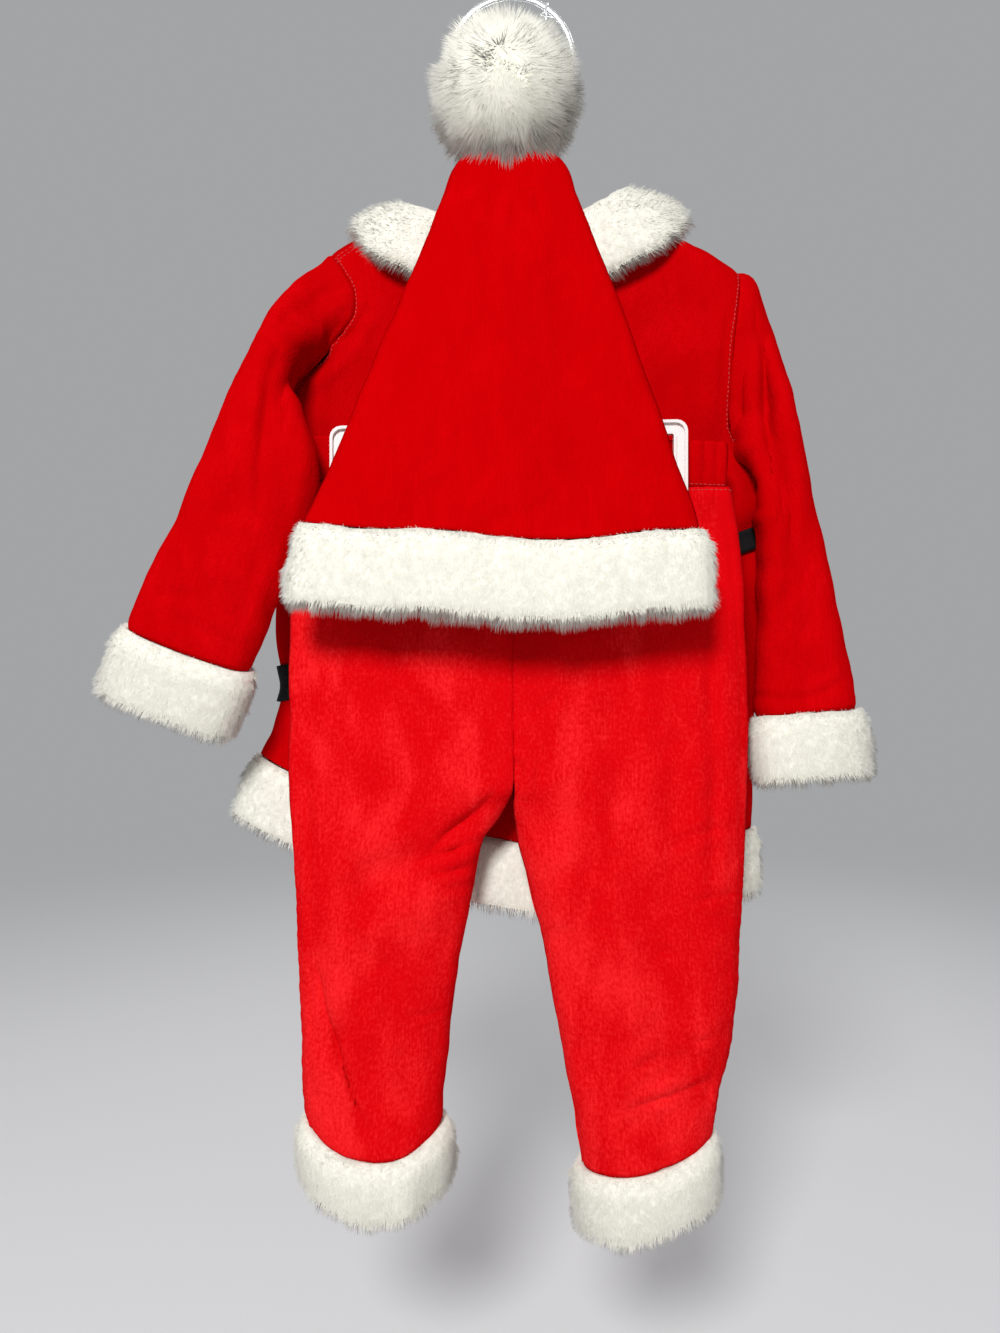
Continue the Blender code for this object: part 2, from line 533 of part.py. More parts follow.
def make_coat():
    """The coat's back, two fronts, sleeves, fur cuffs, fur hem and belt."""
    rows = np.array(COAT_ROWS, float)[:, None]
    across = np.sin(np.radians(np.linspace(-90, 90, 21)))[None, :]
    half = np.sin(np.radians(np.linspace(-90, 0, 10)))[None, :]
    left, right = coat(half, rows, "front"), coat(-half[:, ::-1], rows, "front")
    left[:, -1, 0] -= SEAM / 2
    right[:, 0, 0] += SEAM / 2
    cloth("coat_back", coat(across, rows, "back"))
    cloth("coat_front_left", left, flip=True)
    cloth("coat_front_right", right, flip=True)

    half_turn = np.arccos(1 - 2 * np.array([r for r in COAT_ROWS if r <= ARMHOLE_END]) / ARMHOLE_END)
    angles = np.concatenate([half_turn, 2 * np.pi - half_turn[-2:0:-1]])
    for side, steps in (("left", 17), ("right", 15)):
        rings = sleeve(side, np.linspace(0, 1, steps), angles)
        cloth("coat_sleeve_" + side, rings, closed=True, flip=side == "right")
        out, down = cuff_frame(rings[-1], rings[-2])
        trim("coat_cuff_" + side, fur_sections(rings[-1], out, down, CUFF_HEIGHT[side]), flip=side == "left")

    trim_hem()
    ring = coat_ring(np.array(BELT_ROWS, float))
    ring = ring + (CLOTH + 0.4) * outward(ring, False, closed=True)
    cloth("belt", ring, "black_belt", closed=True, wall=BELT_WALL)


def coat_ring(rows):
    """The coat's cloth all the way round, from the left side seam over the back to the right one and back."""
    across = np.sin(np.radians(np.linspace(-90, 90, 21)))[None, :]
    front = np.sin(np.radians(np.linspace(90, -90, 19)))[None, :]
    return np.concatenate([coat(across, rows[:, None], "back"), coat(front, rows[:, None], "front")], axis=1)


def trim_hem():
    """The fur strip round the hem, from centre front round the back to centre front."""
    ring = coat_ring(np.array([316.0, 326.0]))
    out = outward(ring, False, closed=True)[1]
    down = unit(ring[1] - ring[0])
    order = np.roll(np.arange(ring.shape[1]), -30)
    order = np.append(order, order[0])
    loop, out, down = ring[1][order], out[order], down[order]
    loop[0, 0] -= SEAM / 2
    loop[-1, 0] += SEAM / 2
    trim("coat_hem_fur", fur_sections(loop, out, down, HEM_HEIGHT), closed=False, flip=True)


def make_collar():
    """The fur collar, swept through its table's sections; the front ends meet at the centre front."""
    table = np.array(COLLAR, float)
    keyed = np.concatenate([np.arange(len(table))[:, None], table], axis=1)
    names = "key xn yn zn xf yf zf thick".split()
    c = read(keyed, names, np.linspace(0, len(table) - 1, 31))
    neck = np.stack([c["xn"], c["yn"], c["zn"]], axis=-1)
    free = np.stack([c["xf"], c["yf"], c["zf"]], axis=-1)
    width = free - neck
    tangent = np.gradient((neck + free) / 2, axis=0)
    out = unit(np.cross(width, tangent))
    shape = [(0.0, 0.0), (0.06, 0.7), (0.3, 1.0), (0.7, 1.0), (0.95, 0.65), (1.0, 0.1), (0.6, 0.0)]
    corners = [neck + width * w + out * (h * c["thick"][:, None]) for w, h in shape]
    trim("coat_collar", np.stack(corners, axis=1), closed=False, flip=True)


def make_trousers():
    """Four leg panels, their fur cuffs and the elastic casing."""
    across = (1 - np.cos(np.linspace(0, np.pi, 10))) / 2
    for side in ("left", "right"):
        back, front = (trousers(side, face, TROUSER_ROWS, across) for face in ("back", "front"))
        cloth("trousers_back_" + side, back, flip=side == "left")
        cloth("trousers_front_" + side, front, flip=side == "right")
        ring = np.concatenate([back, front[:, ::-1][:, 1:-1]], axis=1)
        out, down = cuff_frame(ring[-1], ring[-2])
        sections = fur_sections(ring[-1], out, down, LEG_CUFF_HEIGHT[side], THICK_FUR)
        trim("trousers_cuff_" + side, sections, flip=side == "right")
    ring = waist([0, 0.5, 1], np.linspace(0, 2 * np.pi, 44, endpoint=False))
    cloth("trousers_waist", ring, closed=True, flip=True)


def make_hat():
    """Two cone panels and the fur band under their lower edge."""
    across = np.sin(np.radians(np.linspace(-90, 90, 13)))
    cloth("hat_back", hat("back", HAT_ROWS, across))
    cloth("hat_front", hat("front", HAT_ROWS, across), flip=True)
    across = np.sin(np.radians(np.linspace(-90, 90, 19)))
    low = np.array([-310.0, HAT_ROWS[-1]])
    ring = np.concatenate([hat("back", low, across), hat("front", low, across[::-1])[:, 1:-1]], axis=1)
    out, down = cuff_frame(ring[1], ring[0])
    trim("hat_band", fur_sections(ring[1], out, down, HAT_BAND_HEIGHT, THICK_FUR), flip=True)


def make_pompom():
    """A ball of tufts: the hull of evenly spread points, each face drawn out to a tip."""
    n = np.arange(POMPOM_POINTS) + 0.5
    polar, turn = np.arccos(1 - 2 * n / POMPOM_POINTS), np.pi * (1 + 5**0.5) * n
    ball = np.stack([np.cos(turn) * np.sin(polar), np.sin(turn) * np.sin(polar), np.cos(polar)], axis=1)
    bm = bmesh.new()
    for p in ball * POMPOM_CORE:
        bm.verts.new(p * MM)
    bmesh.ops.convex_hull(bm, input=bm.verts[:])
    tips = bmesh.ops.poke(bm, faces=bm.faces[:])["verts"]
    for tip in tips:
        d = tip.co.normalized()
        beside_hat = abs(d.y) < 0.30 and d.z < -0.35
        tip.co = d * ((POMPOM_CORE * 0.96) if beside_hat else POMPOM_REACH) * MM
    bmesh.ops.recalc_face_normals(bm, faces=bm.faces[:])
    mesh = bpy.data.meshes.new("pompom")
    bm.to_mesh(mesh)
    bm.free()
    obj = bpy.data.objects.new("pompom", mesh)
    obj.location = [v * MM for v in POMPOM_CENTRE]
    own = material("white_fur").copy()
    own.name = "pompom_white_fur"
    mesh.materials.append(own)
    SUIT.objects.link(obj)


def make_hanger():
    """The hook, a round bar bent over the peg and down to the neck, and the arms under the shoulders."""
    arc = np.radians(np.linspace(205, -62, 26))
    hook = [(HOOK_RADIUS * np.cos(a), 0.0, HOOK_CENTRE_Z + HOOK_RADIUS * np.sin(a)) for a in arc]
    hook += [(6.0, 0.0, -70.5), (0.0, 0.0, -77.0), (0.0, 0.0, NECK_FOOT)]
    tube("hanger_hook", hook, HOOK_WIRE)
    x = np.array([-86.0, -75.0, -62.0, -40.0, -18.0, 0.0, 18.0, 40.0, 62.0, 82.0, 101.0, 120.0])
    inner = np.abs(x) < NECK_HALF
    end = SHOULDER_TOP - ARM_WIRE - ARM_BELOW
    middle = NECK_FOOT - HOOK_WIRE - ARM_WIRE + 1.1
    rise = end + (middle - end) * (1 - (np.abs(x) / NECK_HALF) ** 1.6)
    z = np.where(inner, rise, shoulder(x, "back") - ARM_WIRE - ARM_BELOW)
    y = np.where(inner, COAT_MID * (np.abs(x) / NECK_HALF), COAT_MID)
    tube("hanger_arms", list(zip(x, y, z)), ARM_WIRE)


def make_frame():
    """The trousers' frame: a channel bar bent to a rectangle with round corners, on a stem from the neck."""
    left, right, top, bottom = FRAME_OUTER
    edges = []
    for inset, radius in ((0.0, FRAME_CORNER), (FRAME_BAR, 1.2)):
        near, edge = inset + radius, []
        corners = [(right - near, top - near, 0), (left + near, top - near, 90),
                   (left + near, bottom + near, 180), (right - near, bottom + near, 270)]
        for cx, cz, start in corners:
            for a in np.radians(np.linspace(start, start + 90, 5)):
                edge.append((cx + radius * np.cos(a), FRAME_DEPTH, cz + radius * np.sin(a)))
        edges.append(np.array(edge))
    shape = [(0, -1), (0, 1), (1, 1), (1, -1), (0.8, -1), (0.8, 0.1), (0.2, 0.1), (0.2, -1)]
    sections = np.stack(
        [edges[0] * (1 - n) + edges[1] * n + np.array([0, d * FRAME_HALF, 0]) for n, d in shape], axis=1
    )
    sections[..., 2] += FRAME_TILT * sections[..., 0]
    trim("bottom_frame", sections, "white_plastic", flip=True)
    stem = [(1.5, FRAME_DEPTH, top + SEAM), (1.5, FRAME_DEPTH, -160.0), (1.0, -38.0, -130.0),
            (0.5, -16.0, -106.0), (0.0, -6.0, -100.0), (-3.6, -2.0, -99.0), (-4.1, 1.0, -99.0),
            (-2.0, 4.0, -99.0), (2.0, 4.0, -99.0)]
    tube("frame_stem", stem, STEM_WIRE)
    for name, x in CLIP_PLACES.items():
        make_clip(name, x)


def make_clip(name, x):
    """A pinch clip: a U of flat plastic over the frame's upper bar and the waist casing."""
    front = FRAME_DEPTH - FRAME_HALF - SEAM
    back = WAIST_DEPTH + WAIST_HALF + GATHER + CLOTH + SEAM
    high, low, wall = FRAME_OUTER[2] + 2.6, CLIP_FOOT, CLIP_WALL
    outline = [(front - wall, low), (front, low), (front, high), (back, high), (back, low),
               (back + wall, low), (back + wall, high + wall), (front - wall, high + wall)]
    points = [(x + w, y, z) for w in (-CLIP_HALF, CLIP_HALF) for y, z in outline]
    n = len(outline)
    faces = [tuple(range(n - 1, -1, -1)), tuple(range(n, 2 * n))]
    faces += [(i, (i + 1) % n, (i + 1) % n + n, i + n) for i in range(n)]
    mesh_object(name, np.array(points), faces, "white_plastic")


def make_pin():
    """The tag pin: a thin plastic thread from the hat's tip, over the hook, to the bar at its end."""
    pin = [(5.0, -51.4, -122.0), (6.5, -40.0, -127.0), (9.0, -16.0, -118.0), (15.0, -3.0, -60.0),
           (19.6, 2.8, -14.0), (20.0, 2.8, -4.0), (21.2, 0.0, -1.6), (20.0, -2.8, -4.0),
           (18.5, -2.9, -9.0), (16.0, -2.9, -10.5), (24.0, -2.9, -12.0)]
    tube("tag_pin", pin, PIN_WIRE, resolution=1)


for old in list(bpy.data.objects):
    bpy.data.objects.remove(old, do_unlink=True)
SUIT = bpy.data.collections.new("santa_suit")
bpy.context.scene.collection.children.link(SUIT)
make_coat()
make_collar()
make_trousers()
make_hat()
make_pompom()
make_hanger()
make_frame()
make_pin()
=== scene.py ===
"""A baby's Santa suit on its shop hanger: sewn velour, fur trims, a woven belt and plastic.

Shapes are worked out in millimetres in the part's own frame: +X to the right of someone who faces the hat,
+Z up, the coat's back towards -Y, and the origin where the hook bears on its peg. The tables give the inner
face of the cloth.
"""

import bmesh
import bpy
import numpy as np
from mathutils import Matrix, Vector


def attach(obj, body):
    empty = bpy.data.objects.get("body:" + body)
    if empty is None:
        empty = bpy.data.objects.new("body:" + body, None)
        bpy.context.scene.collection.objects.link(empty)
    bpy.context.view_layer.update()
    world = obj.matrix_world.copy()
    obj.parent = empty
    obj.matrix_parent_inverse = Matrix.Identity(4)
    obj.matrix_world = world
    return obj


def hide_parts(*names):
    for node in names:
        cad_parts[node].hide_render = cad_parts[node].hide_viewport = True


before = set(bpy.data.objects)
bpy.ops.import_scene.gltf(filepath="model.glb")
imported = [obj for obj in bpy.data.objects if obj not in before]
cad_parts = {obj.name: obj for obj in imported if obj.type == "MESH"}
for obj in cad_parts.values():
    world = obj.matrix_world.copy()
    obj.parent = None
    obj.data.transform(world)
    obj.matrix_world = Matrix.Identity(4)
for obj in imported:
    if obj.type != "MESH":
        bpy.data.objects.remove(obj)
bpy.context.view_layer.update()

MM = 0.001
CLOTH = 2.0        # wall of the velour, pile included
SEAM = 0.3         # gap between two pieces that are sewn together
FUR = 8.5          # thickness of the fur trims
BELT_WALL = 1.5
BELT_OFF = 0.4     # gap between the belt and the coat
NECK_HALF = 62.0   # half the width of the coat's neck
COAT_MID = 8.0     # depth of the coat's side seams
SEWN_HALF = 0.25   # half the distance between a back and its front where they are sewn together

# The coat, row by row: distance down from the shoulder line, height at the left, middle and right, the two
# sides, half the depth, and half the width of the armhole.
COAT = [
    # down  z_left  z_mid  z_right x_left x_right depth open_left open_right
    (0, -149.0, -153.0, -158.0, -105.0, 132.0, 13.0, 8.0, 8.0),
    (8, -158.0, -161.0, -166.0, -99.0, 131.5, 13.0, 9.0, 9.0),
    (28, -180.0, -183.0, -186.0, -90.0, 129.0, 14.0, 11.0, 11.0),
    (50, -202.0, -204.0, -206.0, -104.5, 127.0, 14.0, 11.0, 11.0),
    (74, -224.0, -227.0, -233.0, -122.5, 126.0, 14.0, 9.0, 9.0),
    (93, -247.0, -248.0, -251.0, -130.0, 126.5, 14.5, 5.0, 5.0),
    (104, -257.0, -257.0, -260.0, -132.5, 130.5, 15.0, 0.3, 0.3),
    (142, -312.0, -300.0, -280.0, -135.0, 142.5, 16.0, 0.3, 0.3),
    (184, -377.0, -347.0, -297.0, -136.5, 146.0, 15.0, 0.3, 0.3),
    (199, -398.0, -361.0, -308.0, -132.5, 142.5, 12.0, 0.3, 0.3),
    (214, -413.0, -375.0, -321.0, -136.5, 144.5, 14.5, 0.3, 0.3),
    (262, -427.0, -418.0, -394.0, -141.0, 142.0, 17.0, 0.3, 0.3),
    (306, -434.0, -464.0, -452.0, -144.5, 140.0, 19.0, 0.3, 0.3),
    (326, -438.0, -485.0, -480.0, -146.0, 139.5, 20.0, 0.3, 0.3),
]
COAT_COLUMNS = "down z_left z_mid z_right x_left x_right depth open_left open_right".split()
COAT_ROWS = (0, 3.5, 10, 20, 32, 46, 60, 74, 86, 93, 104, 124, 150, 178, 190, 199, 208, 220, 250, 290, 326)
SIDE_SIGN = {"left": -1.0, "right": 1.0}  # which way along X a side lies
ARMHOLE_END = 93.0
COAT_STITCHES = [
    # edge, distance from it, from and to as shares of it
    ("first", 2.4, 0.02, 0.42),
    ("last", 2.4, 0.02, 0.42),
    ("top", 7.0, 0.0, 0.2),
    ("top", 10.0, 0.0, 0.2),
]
HEM_STARTS = 30  # the point of the coat's ring at the centre front, where the hem's fur starts
HEM_ROWS = (316, 326)  # the hem's fur hangs from the last row, in the way that these two rows point
ARMHOLE_GAP = 0.9  # the sleeve's wall leans at its seam, so it stands a little farther off
UNDERARM_GAP, LEFT_BACK_GAP = 1.5, 2.3  # and farther still under the arm and along the left back
ARMHOLE_LIFT = 3.0  # the underarm seam turns up by this much
BELT_ROWS = (190, 199, 208)
SHOULDER_TOP = -131.5
SHOULDER_FALL = {"left": 0.0082, "right": 0.0052}  # mm of fall for each square mm past the neck
SHOULDER_REACH = 110.0  # how far down the rows follow the shoulder line
RIDGE_DOWN = 20.0  # over this distance the coat closes to a ridge at the shoulders
NECK_PAST, NECK_OPENS = 8.0, 14.0  # the ridge ends this far past the neck and opens over this width
NECK_DROP = {"back": 8.0, "front": 34.0}

# Soft folds of the skirt and the upper back: place across (-1 to 1), width, height, and where they start and
# end. Those that end at the last row run out at the hem.
COAT_FOLDS = [
    # across  width  height  from  to
    (-0.70, 0.16, 3.0, 215, 326),
    (-0.25, 0.20, -3.0, 230, 326),
    (0.20, 0.18, 3.0, 220, 326),
    (0.62, 0.16, -2.5, 225, 326),
    (0.86, 0.10, 2.5, 110, 190),
]
FOLD_GROWS, FOLD_ENDS = 0.4, 20  # a fold grows over this share of its length and runs out over this distance

# The coat's right side is moved out below its armhole, so that it leans on the sleeve with no light between.
SIDE_OUT = 4.0
SIDE_OUT_ACROSS = (112, 136)  # x over which the move grows
SIDE_OUT_TOP = (-254, -270)  # z over which it grows below the armhole
SIDE_OUT_FOOT = (-388, -358)  # z below which there is none, and above which it is whole

# Sleeves, ring by ring: along, the outer edge, the inner (underarm) edge and half the thickness between them.
SLEEVE = {"left": [
    # along  x_out   y_out  z_out   x_in    y_in   z_in    half
    (0.00, -106.5, 8.0, -152.0, -134.0, 8.0, -250.0, 9.0),
    (0.09, -115.0, 2.0, -152.5, -137.0, 3.0, -246.0, 9.0),
    (0.18, -126.5, -9.0, -164.0, -134.0, -14.0, -243.0, 9.5),
    (0.28, -137.5, -23.0, -190.0, -123.5, -38.0, -245.0, 10.0),
    (0.38, -145.0, -41.0, -220.0, -107.0, -57.0, -261.0, 9.0),
    (0.50, -157.0, -51.0, -260.5, -104.0, -58.0, -287.0, 9.0),
    (0.62, -170.0, -52.0, -291.5, -109.5, -56.0, -311.0, 9.5),
    (0.76, -185.5, -51.0, -323.5, -122.5, -53.0, -341.0, 10.5),
    (0.90, -200.0, -47.0, -352.0, -136.0, -47.0, -372.5, 11.5),
    (1.00, -205.5, -44.0, -364.5, -143.0, -44.0, -388.0, 12.5),
], "right": [
    (0.00, 134.5, 8.0, -158.0, 131.0, 8.0, -253.0, 10.0),
    (0.10, 144.5, 7.0, -171.0, 136.5, 3.0, -261.0, 11.0),
    (0.24, 152.5, 2.0, -203.0, 142.0, -6.0, -275.0, 11.0),
    (0.36, 158.5, -6.0, -233.0, 143.0, -14.0, -294.0, 11.0),
    (0.52, 167.5, -12.0, -287.0, 141.0, -18.0, -327.0, 10.0),
    (0.68, 176.0, -15.0, -328.5, 139.0, -19.5, -361.0, 10.0),
    (0.82, 182.0, -17.0, -363.5, 138.5, -20.5, -386.0, 10.5),
    (0.92, 188.0, -18.0, -389.5, 138.0, -20.5, -403.0, 11.5),
    (1.00, 191.0, -19.0, -410.0, 138.5, -21.0, -414.0, 12.5),
]}
SLEEVE_COLUMNS = "along x_out y_out z_out x_in y_in z_in half".split()
SLEEVE_STEPS = {"left": 17, "right": 15}
SLEEVE_GROWS = 0.22  # share of a sleeve over which its rings grow out of the armhole
SLEEVE_STEP, STEP_GROWS, STEP_LESS = 5.0, 0.06, 0.6  # first step sideways, its share, and less under the arm
LEFT_STEP = np.array([0.4, -0.8, 0.0])  # the left sleeve's step swings by this on its back
UNDERARM_LAP, UNDERARM_OUT = 8.5, 1.5  # how far a sleeve laps down over the side seam, and stands off it

# Folds that run along a line in the front view: the line's two ends, its width and how far it stands out
# (or sinks).
SLEEVE_FOLDS = {"left": [
    # x1    z1      x2      z2     width  out
    (-130.0, -216.0, -128.0, -268.0, 6.0, -4.5),
    (-102.0, -205.0, -118.0, -226.0, 8.0, 2.0),
    (-138.0, -200.0, -145.0, -285.0, 7.0, 2.5),
], "right": [
    (148.0, -195.0, 150.0, -300.0, 5.0, -5.0),
    (166.0, -240.0, 178.0, -400.0, 9.0, 2.0),
]}
TROUSER_FOLDS = [
    (-3.0, -462.0, -72.0, -498.0, 8.0, -4.0),
    (-8.0, -484.0, -66.0, -520.0, 10.0, 3.0),
    (-112.0, -540.0, -76.0, -632.0, 9.0, -4.0),
    (-98.0, -600.0, -60.0, -642.0, 8.0, 3.0),
    (104.0, -370.0, 102.0, -590.0, 9.0, 3.0),
    (86.0, -380.0, 84.0, -600.0, 8.0, -2.5),
    (104.0, -612.0, 68.0, -624.0, 7.0, -3.5),
    (6.0, -470.0, 46.0, -545.0, 8.0, 2.5),
]

# Trousers: along from the waist casing to the cuff, inner edge, outer edge, depth of the side seam, half the
# depth, how far the inner edge is still open (1 at the centre seam, 0 down the leg) and how far the middle of
# the row hangs below its ends.
TROUSERS = {"left": [
    # along  x_in    z_in    x_out   z_out   mid   half  open  drop
    (0.00, 0.0, -290.0, -118.0, -285.0, -33.0, 5.0, 1.0, 0.0),
    (0.10, 0.0, -328.0, -120.0, -326.0, -33.5, 5.3, 1.0, 0.0),
    (0.22, 0.0, -372.0, -120.5, -372.0, -37.0, 9.0, 1.0, 0.0),
    (0.34, 0.0, -416.0, -120.0, -424.0, -40.0, 11.0, 1.0, 0.0),
    (0.43, -0.5, -450.0, -119.0, -459.0, -42.0, 12.0, 1.0, 0.0),
    (0.47, -5.0, -462.0, -118.0, -478.0, -42.0, 12.5, 0.3, 0.0),
    (0.53, -16.5, -478.0, -116.0, -504.0, -42.0, 13.0, 0.0, 1.0),
    (0.62, -24.0, -516.0, -114.5, -534.0, -42.0, 14.0, 0.0, 3.0),
    (0.72, -31.0, -551.0, -113.5, -567.0, -42.0, 15.0, 0.0, 5.0),
    (0.84, -36.0, -594.0, -111.5, -600.0, -41.0, 16.0, 0.0, 9.0),
    (0.93, -38.5, -616.0, -110.5, -617.0, -41.0, 18.0, 0.0, 13.0),
    (1.00, -39.0, -631.5, -110.0, -629.5, -40.0, 20.0, 0.0, 15.0),
], "right": [
    (0.00, 0.0, -290.0, 118.5, -289.0, -33.0, 5.0, 1.0, 0.0),
    (0.10, 0.0, -328.0, 124.0, -326.0, -33.5, 5.3, 1.0, 0.0),
    (0.22, 0.0, -372.0, 126.0, -372.0, -37.0, 9.0, 1.0, 0.0),
    (0.34, 0.0, -416.0, 126.5, -424.0, -40.0, 11.0, 1.0, 0.0),
    (0.43, 0.5, -450.0, 125.0, -459.0, -42.0, 12.0, 1.0, 0.0),
    (0.47, 1.5, -463.0, 124.0, -478.0, -42.0, 12.5, 0.3, 0.0),
    (0.53, 4.5, -484.0, 123.0, -504.0, -42.0, 13.0, 0.0, 0.0),
    (0.62, 13.0, -517.0, 121.0, -534.0, -42.0, 14.0, 0.0, 1.0),
    (0.72, 20.5, -551.0, 119.0, -567.0, -42.0, 15.0, 0.0, 2.0),
    (0.84, 28.5, -596.0, 113.5, -602.0, -41.0, 16.0, 0.0, 3.0),
    (0.93, 34.0, -624.0, 108.5, -621.0, -41.0, 18.0, 0.0, 4.0),
    (1.00, 38.5, -655.0, 105.5, -637.0, -40.0, 20.0, 0.0, 5.0),
]}
TROUSER_COLUMNS = "along x_in z_in x_out z_out mid half open drop".split()
TROUSER_ROWS = np.array([
    0, 0.05, 0.1, 0.16, 0.22, 0.28, 0.34, 0.39, 0.43, 0.46, 0.49, 0.53, 0.59, 0.65, 0.71, 0.77, 0.83, 0.88,
    0.93, 0.97, 1.0,
])
WAIST_SIDES, WAIST_DEPTH, WAIST_HALF = (-116.0, 115.5), -33.0, 5.0
WAIST_TOP = {"left": -261.0, "right": -264.0}
WAIST_FOOT = {"left": -285.0, "right": -289.0}
WAIST_POINTS = 44
GATHER, GATHER_PITCH = 0.5, 19.5
SEAM_SHARE = 6  # folds fade out over a sixth of the panel at each of its seams

# Hat, from the gathered tip to the lower edge under the fur band.
HAT = [
    # z      x_left  x_right  mid   half
    (-108.7, -11.0, 6.0, -57.0, 1.2),
    (-114.0, -20.0, 15.0, -57.0, 2.5),
    (-124.0, -30.0, 26.5, -58.0, 4.0),
    (-142.0, -36.5, 33.0, -60.0, 5.0),
    (-170.0, -47.0, 43.5, -63.0, 6.0),
    (-234.0, -72.0, 66.0, -70.0, 8.0),
    (-276.0, -88.5, 79.5, -75.0, 8.5),
    (-306.0, -100.5, 89.5, -79.0, 8.0),
    (-319.0, -105.0, 93.0, -80.0, 7.5),
]
HAT_COLUMNS = "z x_left x_right mid half".split()
HAT_ROWS = np.array([-108.7, -111, -115, -124, -140, -160, -185, -210, -235, -260, -285, -305, -318.7])
HAT_FOLDS = [
    (-20.0, -135.0, -52.0, -300.0, 9.0, 2.0),
    (22.0, -140.0, 30.0, -300.0, 12.0, -2.0),
]
# The hat's lower edge hangs in a soft wave: place across and how far it is above the table's last row.
HAT_EDGE = [(-105.0, 4.5), (-76.0, 1.5), (-32.0, 0.0), (-2.0, -3.8), (38.0, -3.8), (69.0, 0.5), (93.0, 1.5)]
HAT_EDGE_RISES = (-280.0, -318.0)  # z over which the wave grows
HAT_BAND_FROM = -310.0  # the band hangs in the way that the cloth runs from here to its edge
HAT_BAND_HEIGHT = 44.0
THICK_FUR = 9.0  # the hat band's and the leg cuffs' fur

# The collar from one centre-front end, over the left shoulder, round the back and back to the other end: the
# sewn edge at the neck and the free edge of each section.
COLLAR = [
    # x_neck y_neck  z_neck  x_free  y_free  z_free  thick
    (-1.5, 25.0, -164.0, -4.0, 31.0, -192.0, 8.0),
    (-30.0, 25.0, -155.0, -46.0, 31.0, -180.0, 9.0),
    (-54.0, 24.5, -137.0, -80.0, 30.0, -155.0, 9.5),
    (-62.0, 9.0, -121.0, -94.0, 10.0, -130.0, 9.5),
    (-49.0, -8.5, -127.0, -79.0, -17.5, -158.0, 9.5),
    (-22.0, -6.4, -134.0, -34.0, -20.0, -176.0, 9.5),
    (4.0, -6.2, -136.0, 6.0, -20.5, -180.0, 9.5),
    (28.0, -6.4, -132.0, 44.0, -20.0, -174.0, 9.5),
    (52.0, -8.5, -121.0, 88.0, -18.0, -151.0, 10.0),
    (63.0, 9.0, -113.0, 103.0, 11.0, -127.0, 11.0),
    (54.0, 24.5, -133.0, 82.0, 30.0, -152.0, 10.0),
    (30.0, 25.0, -155.0, 46.0, 31.0, -180.0, 9.0),
    (-0.5, 25.0, -164.0, 2.0, 31.0, -192.0, 8.0),
]

# Outline of a fur trim's section: out from the cloth and down from the seam, as shares of its thickness and
# height.
FUR_SECTION = [
    (0.00, 0.02), (0.45, 0.00), (0.85, 0.10), (1.00, 0.35),
    (0.98, 0.70), (0.78, 0.95), (0.35, 1.00), (0.00, 0.94),
]
CUFF_HEIGHT = {"left": 42.0, "right": 40.0}
LEG_CUFF_HEIGHT = {"left": 35.0, "right": 38.0}
HEM_HEIGHT = 42.0

COLLAR_COLUMNS = "place x_neck y_neck z_neck x_free y_free z_free thick".split()
COLLAR_STEPS = 31
COLLAR_SECTION = [
    # share of the width, share of the thickness
    (0.0, 0.0), (0.06, 0.7), (0.3, 1.0), (0.7, 1.0), (0.95, 0.65), (1.0, 0.1), (0.6, 0.0),
]

POMPOM_CENTRE = (-3.8, -58.0, -86.0)
POMPOM_CORE, POMPOM_REACH = 31.5, 40.5  # radius of its core, and how far its hairs reach
POMPOM_LUMP, POMPOM_LUMP_LENGTH = 0.05, 14.0  # height, as a share of the radius, and length of its lumps
POMPOM_PARTING = np.array([-0.15, -0.94, 0.31])  # the side from which the hairs lie to all others

FUR_IN, FUR_IN_BELOW = 2.0, 2.5  # how far a backing is drawn in for its hairs, and further facing down
FUR_LAP = 2.6  # how far its upper edge laps over the cloth
FUR_SETTLES = 7.0  # distance from the seam over which both grow
FUR_STEP, FUR_ROUND = 3.0, 22  # mm from section to section, and points round a section
HAIR_THICK, HAIR_CLUMP = 0.24, 8.0  # a hair's radius at its foot, and the length of its clumps' waves
HAIR_LENGTHS, HAIR_WIDTHS = (0.70, 1.10), (0.7, 1.25)  # shares of the length and width asked for
HAIR_SUNK = 0.8  # how far a hair's root stands in the backing
HAIR_ALONG, HAIR_SAG = 0.86, 0.30  # shares of a hair's length along its way and along its sag
HAIR_ROUND = 0.22  # how far a hair is shaded by its own roundness and not by the backing under it
HAIR_COUNT = {
    "coat_cuff": 12000, "coat_hem": 20000, "coat_collar": 18000,
    "trousers_cuff": 14000, "hat_band": 34000, "pompom": 20000,
}

STITCH_PITCH, STITCH_SHARE = 2.6, 0.68  # mm from stitch to stitch, and the share of it that a stitch covers
STITCH_THICK, STITCH_PROUD = 0.22, 0.16  # a stitch's radius and how far its middle stands up
# A stitch: places along it, how far each stands up, and how thick it is there, as shares.
STITCH_ALONG = (-0.5, -0.3, 0.0, 0.3, 0.5)
STITCH_HIGH = (-0.35, 0.6, 1.0, 0.6, -0.35)
STITCH_GIRTH = (0.5, 0.95, 1.0, 0.95, 0.5)
STITCH_SIDES = 5

HILL_LONG, HILL_SHORT = 34.0, 11.0  # lengths of the cloth's soft hills
SEAM_DIP = 0.9  # how far a seam is drawn in
PUCKER, PUCKER_PITCH = 0.28, 7.5  # height of its puckers, and mm from one to the next
CLIPS = ("clip_left", "clip_right")  # what the trousers hang from
LEG_RIBS = (("last", 3.0, 1.4, 1.0), ("last", 8.0, 1.4, 0.9))  # edge, distance from it, width and height

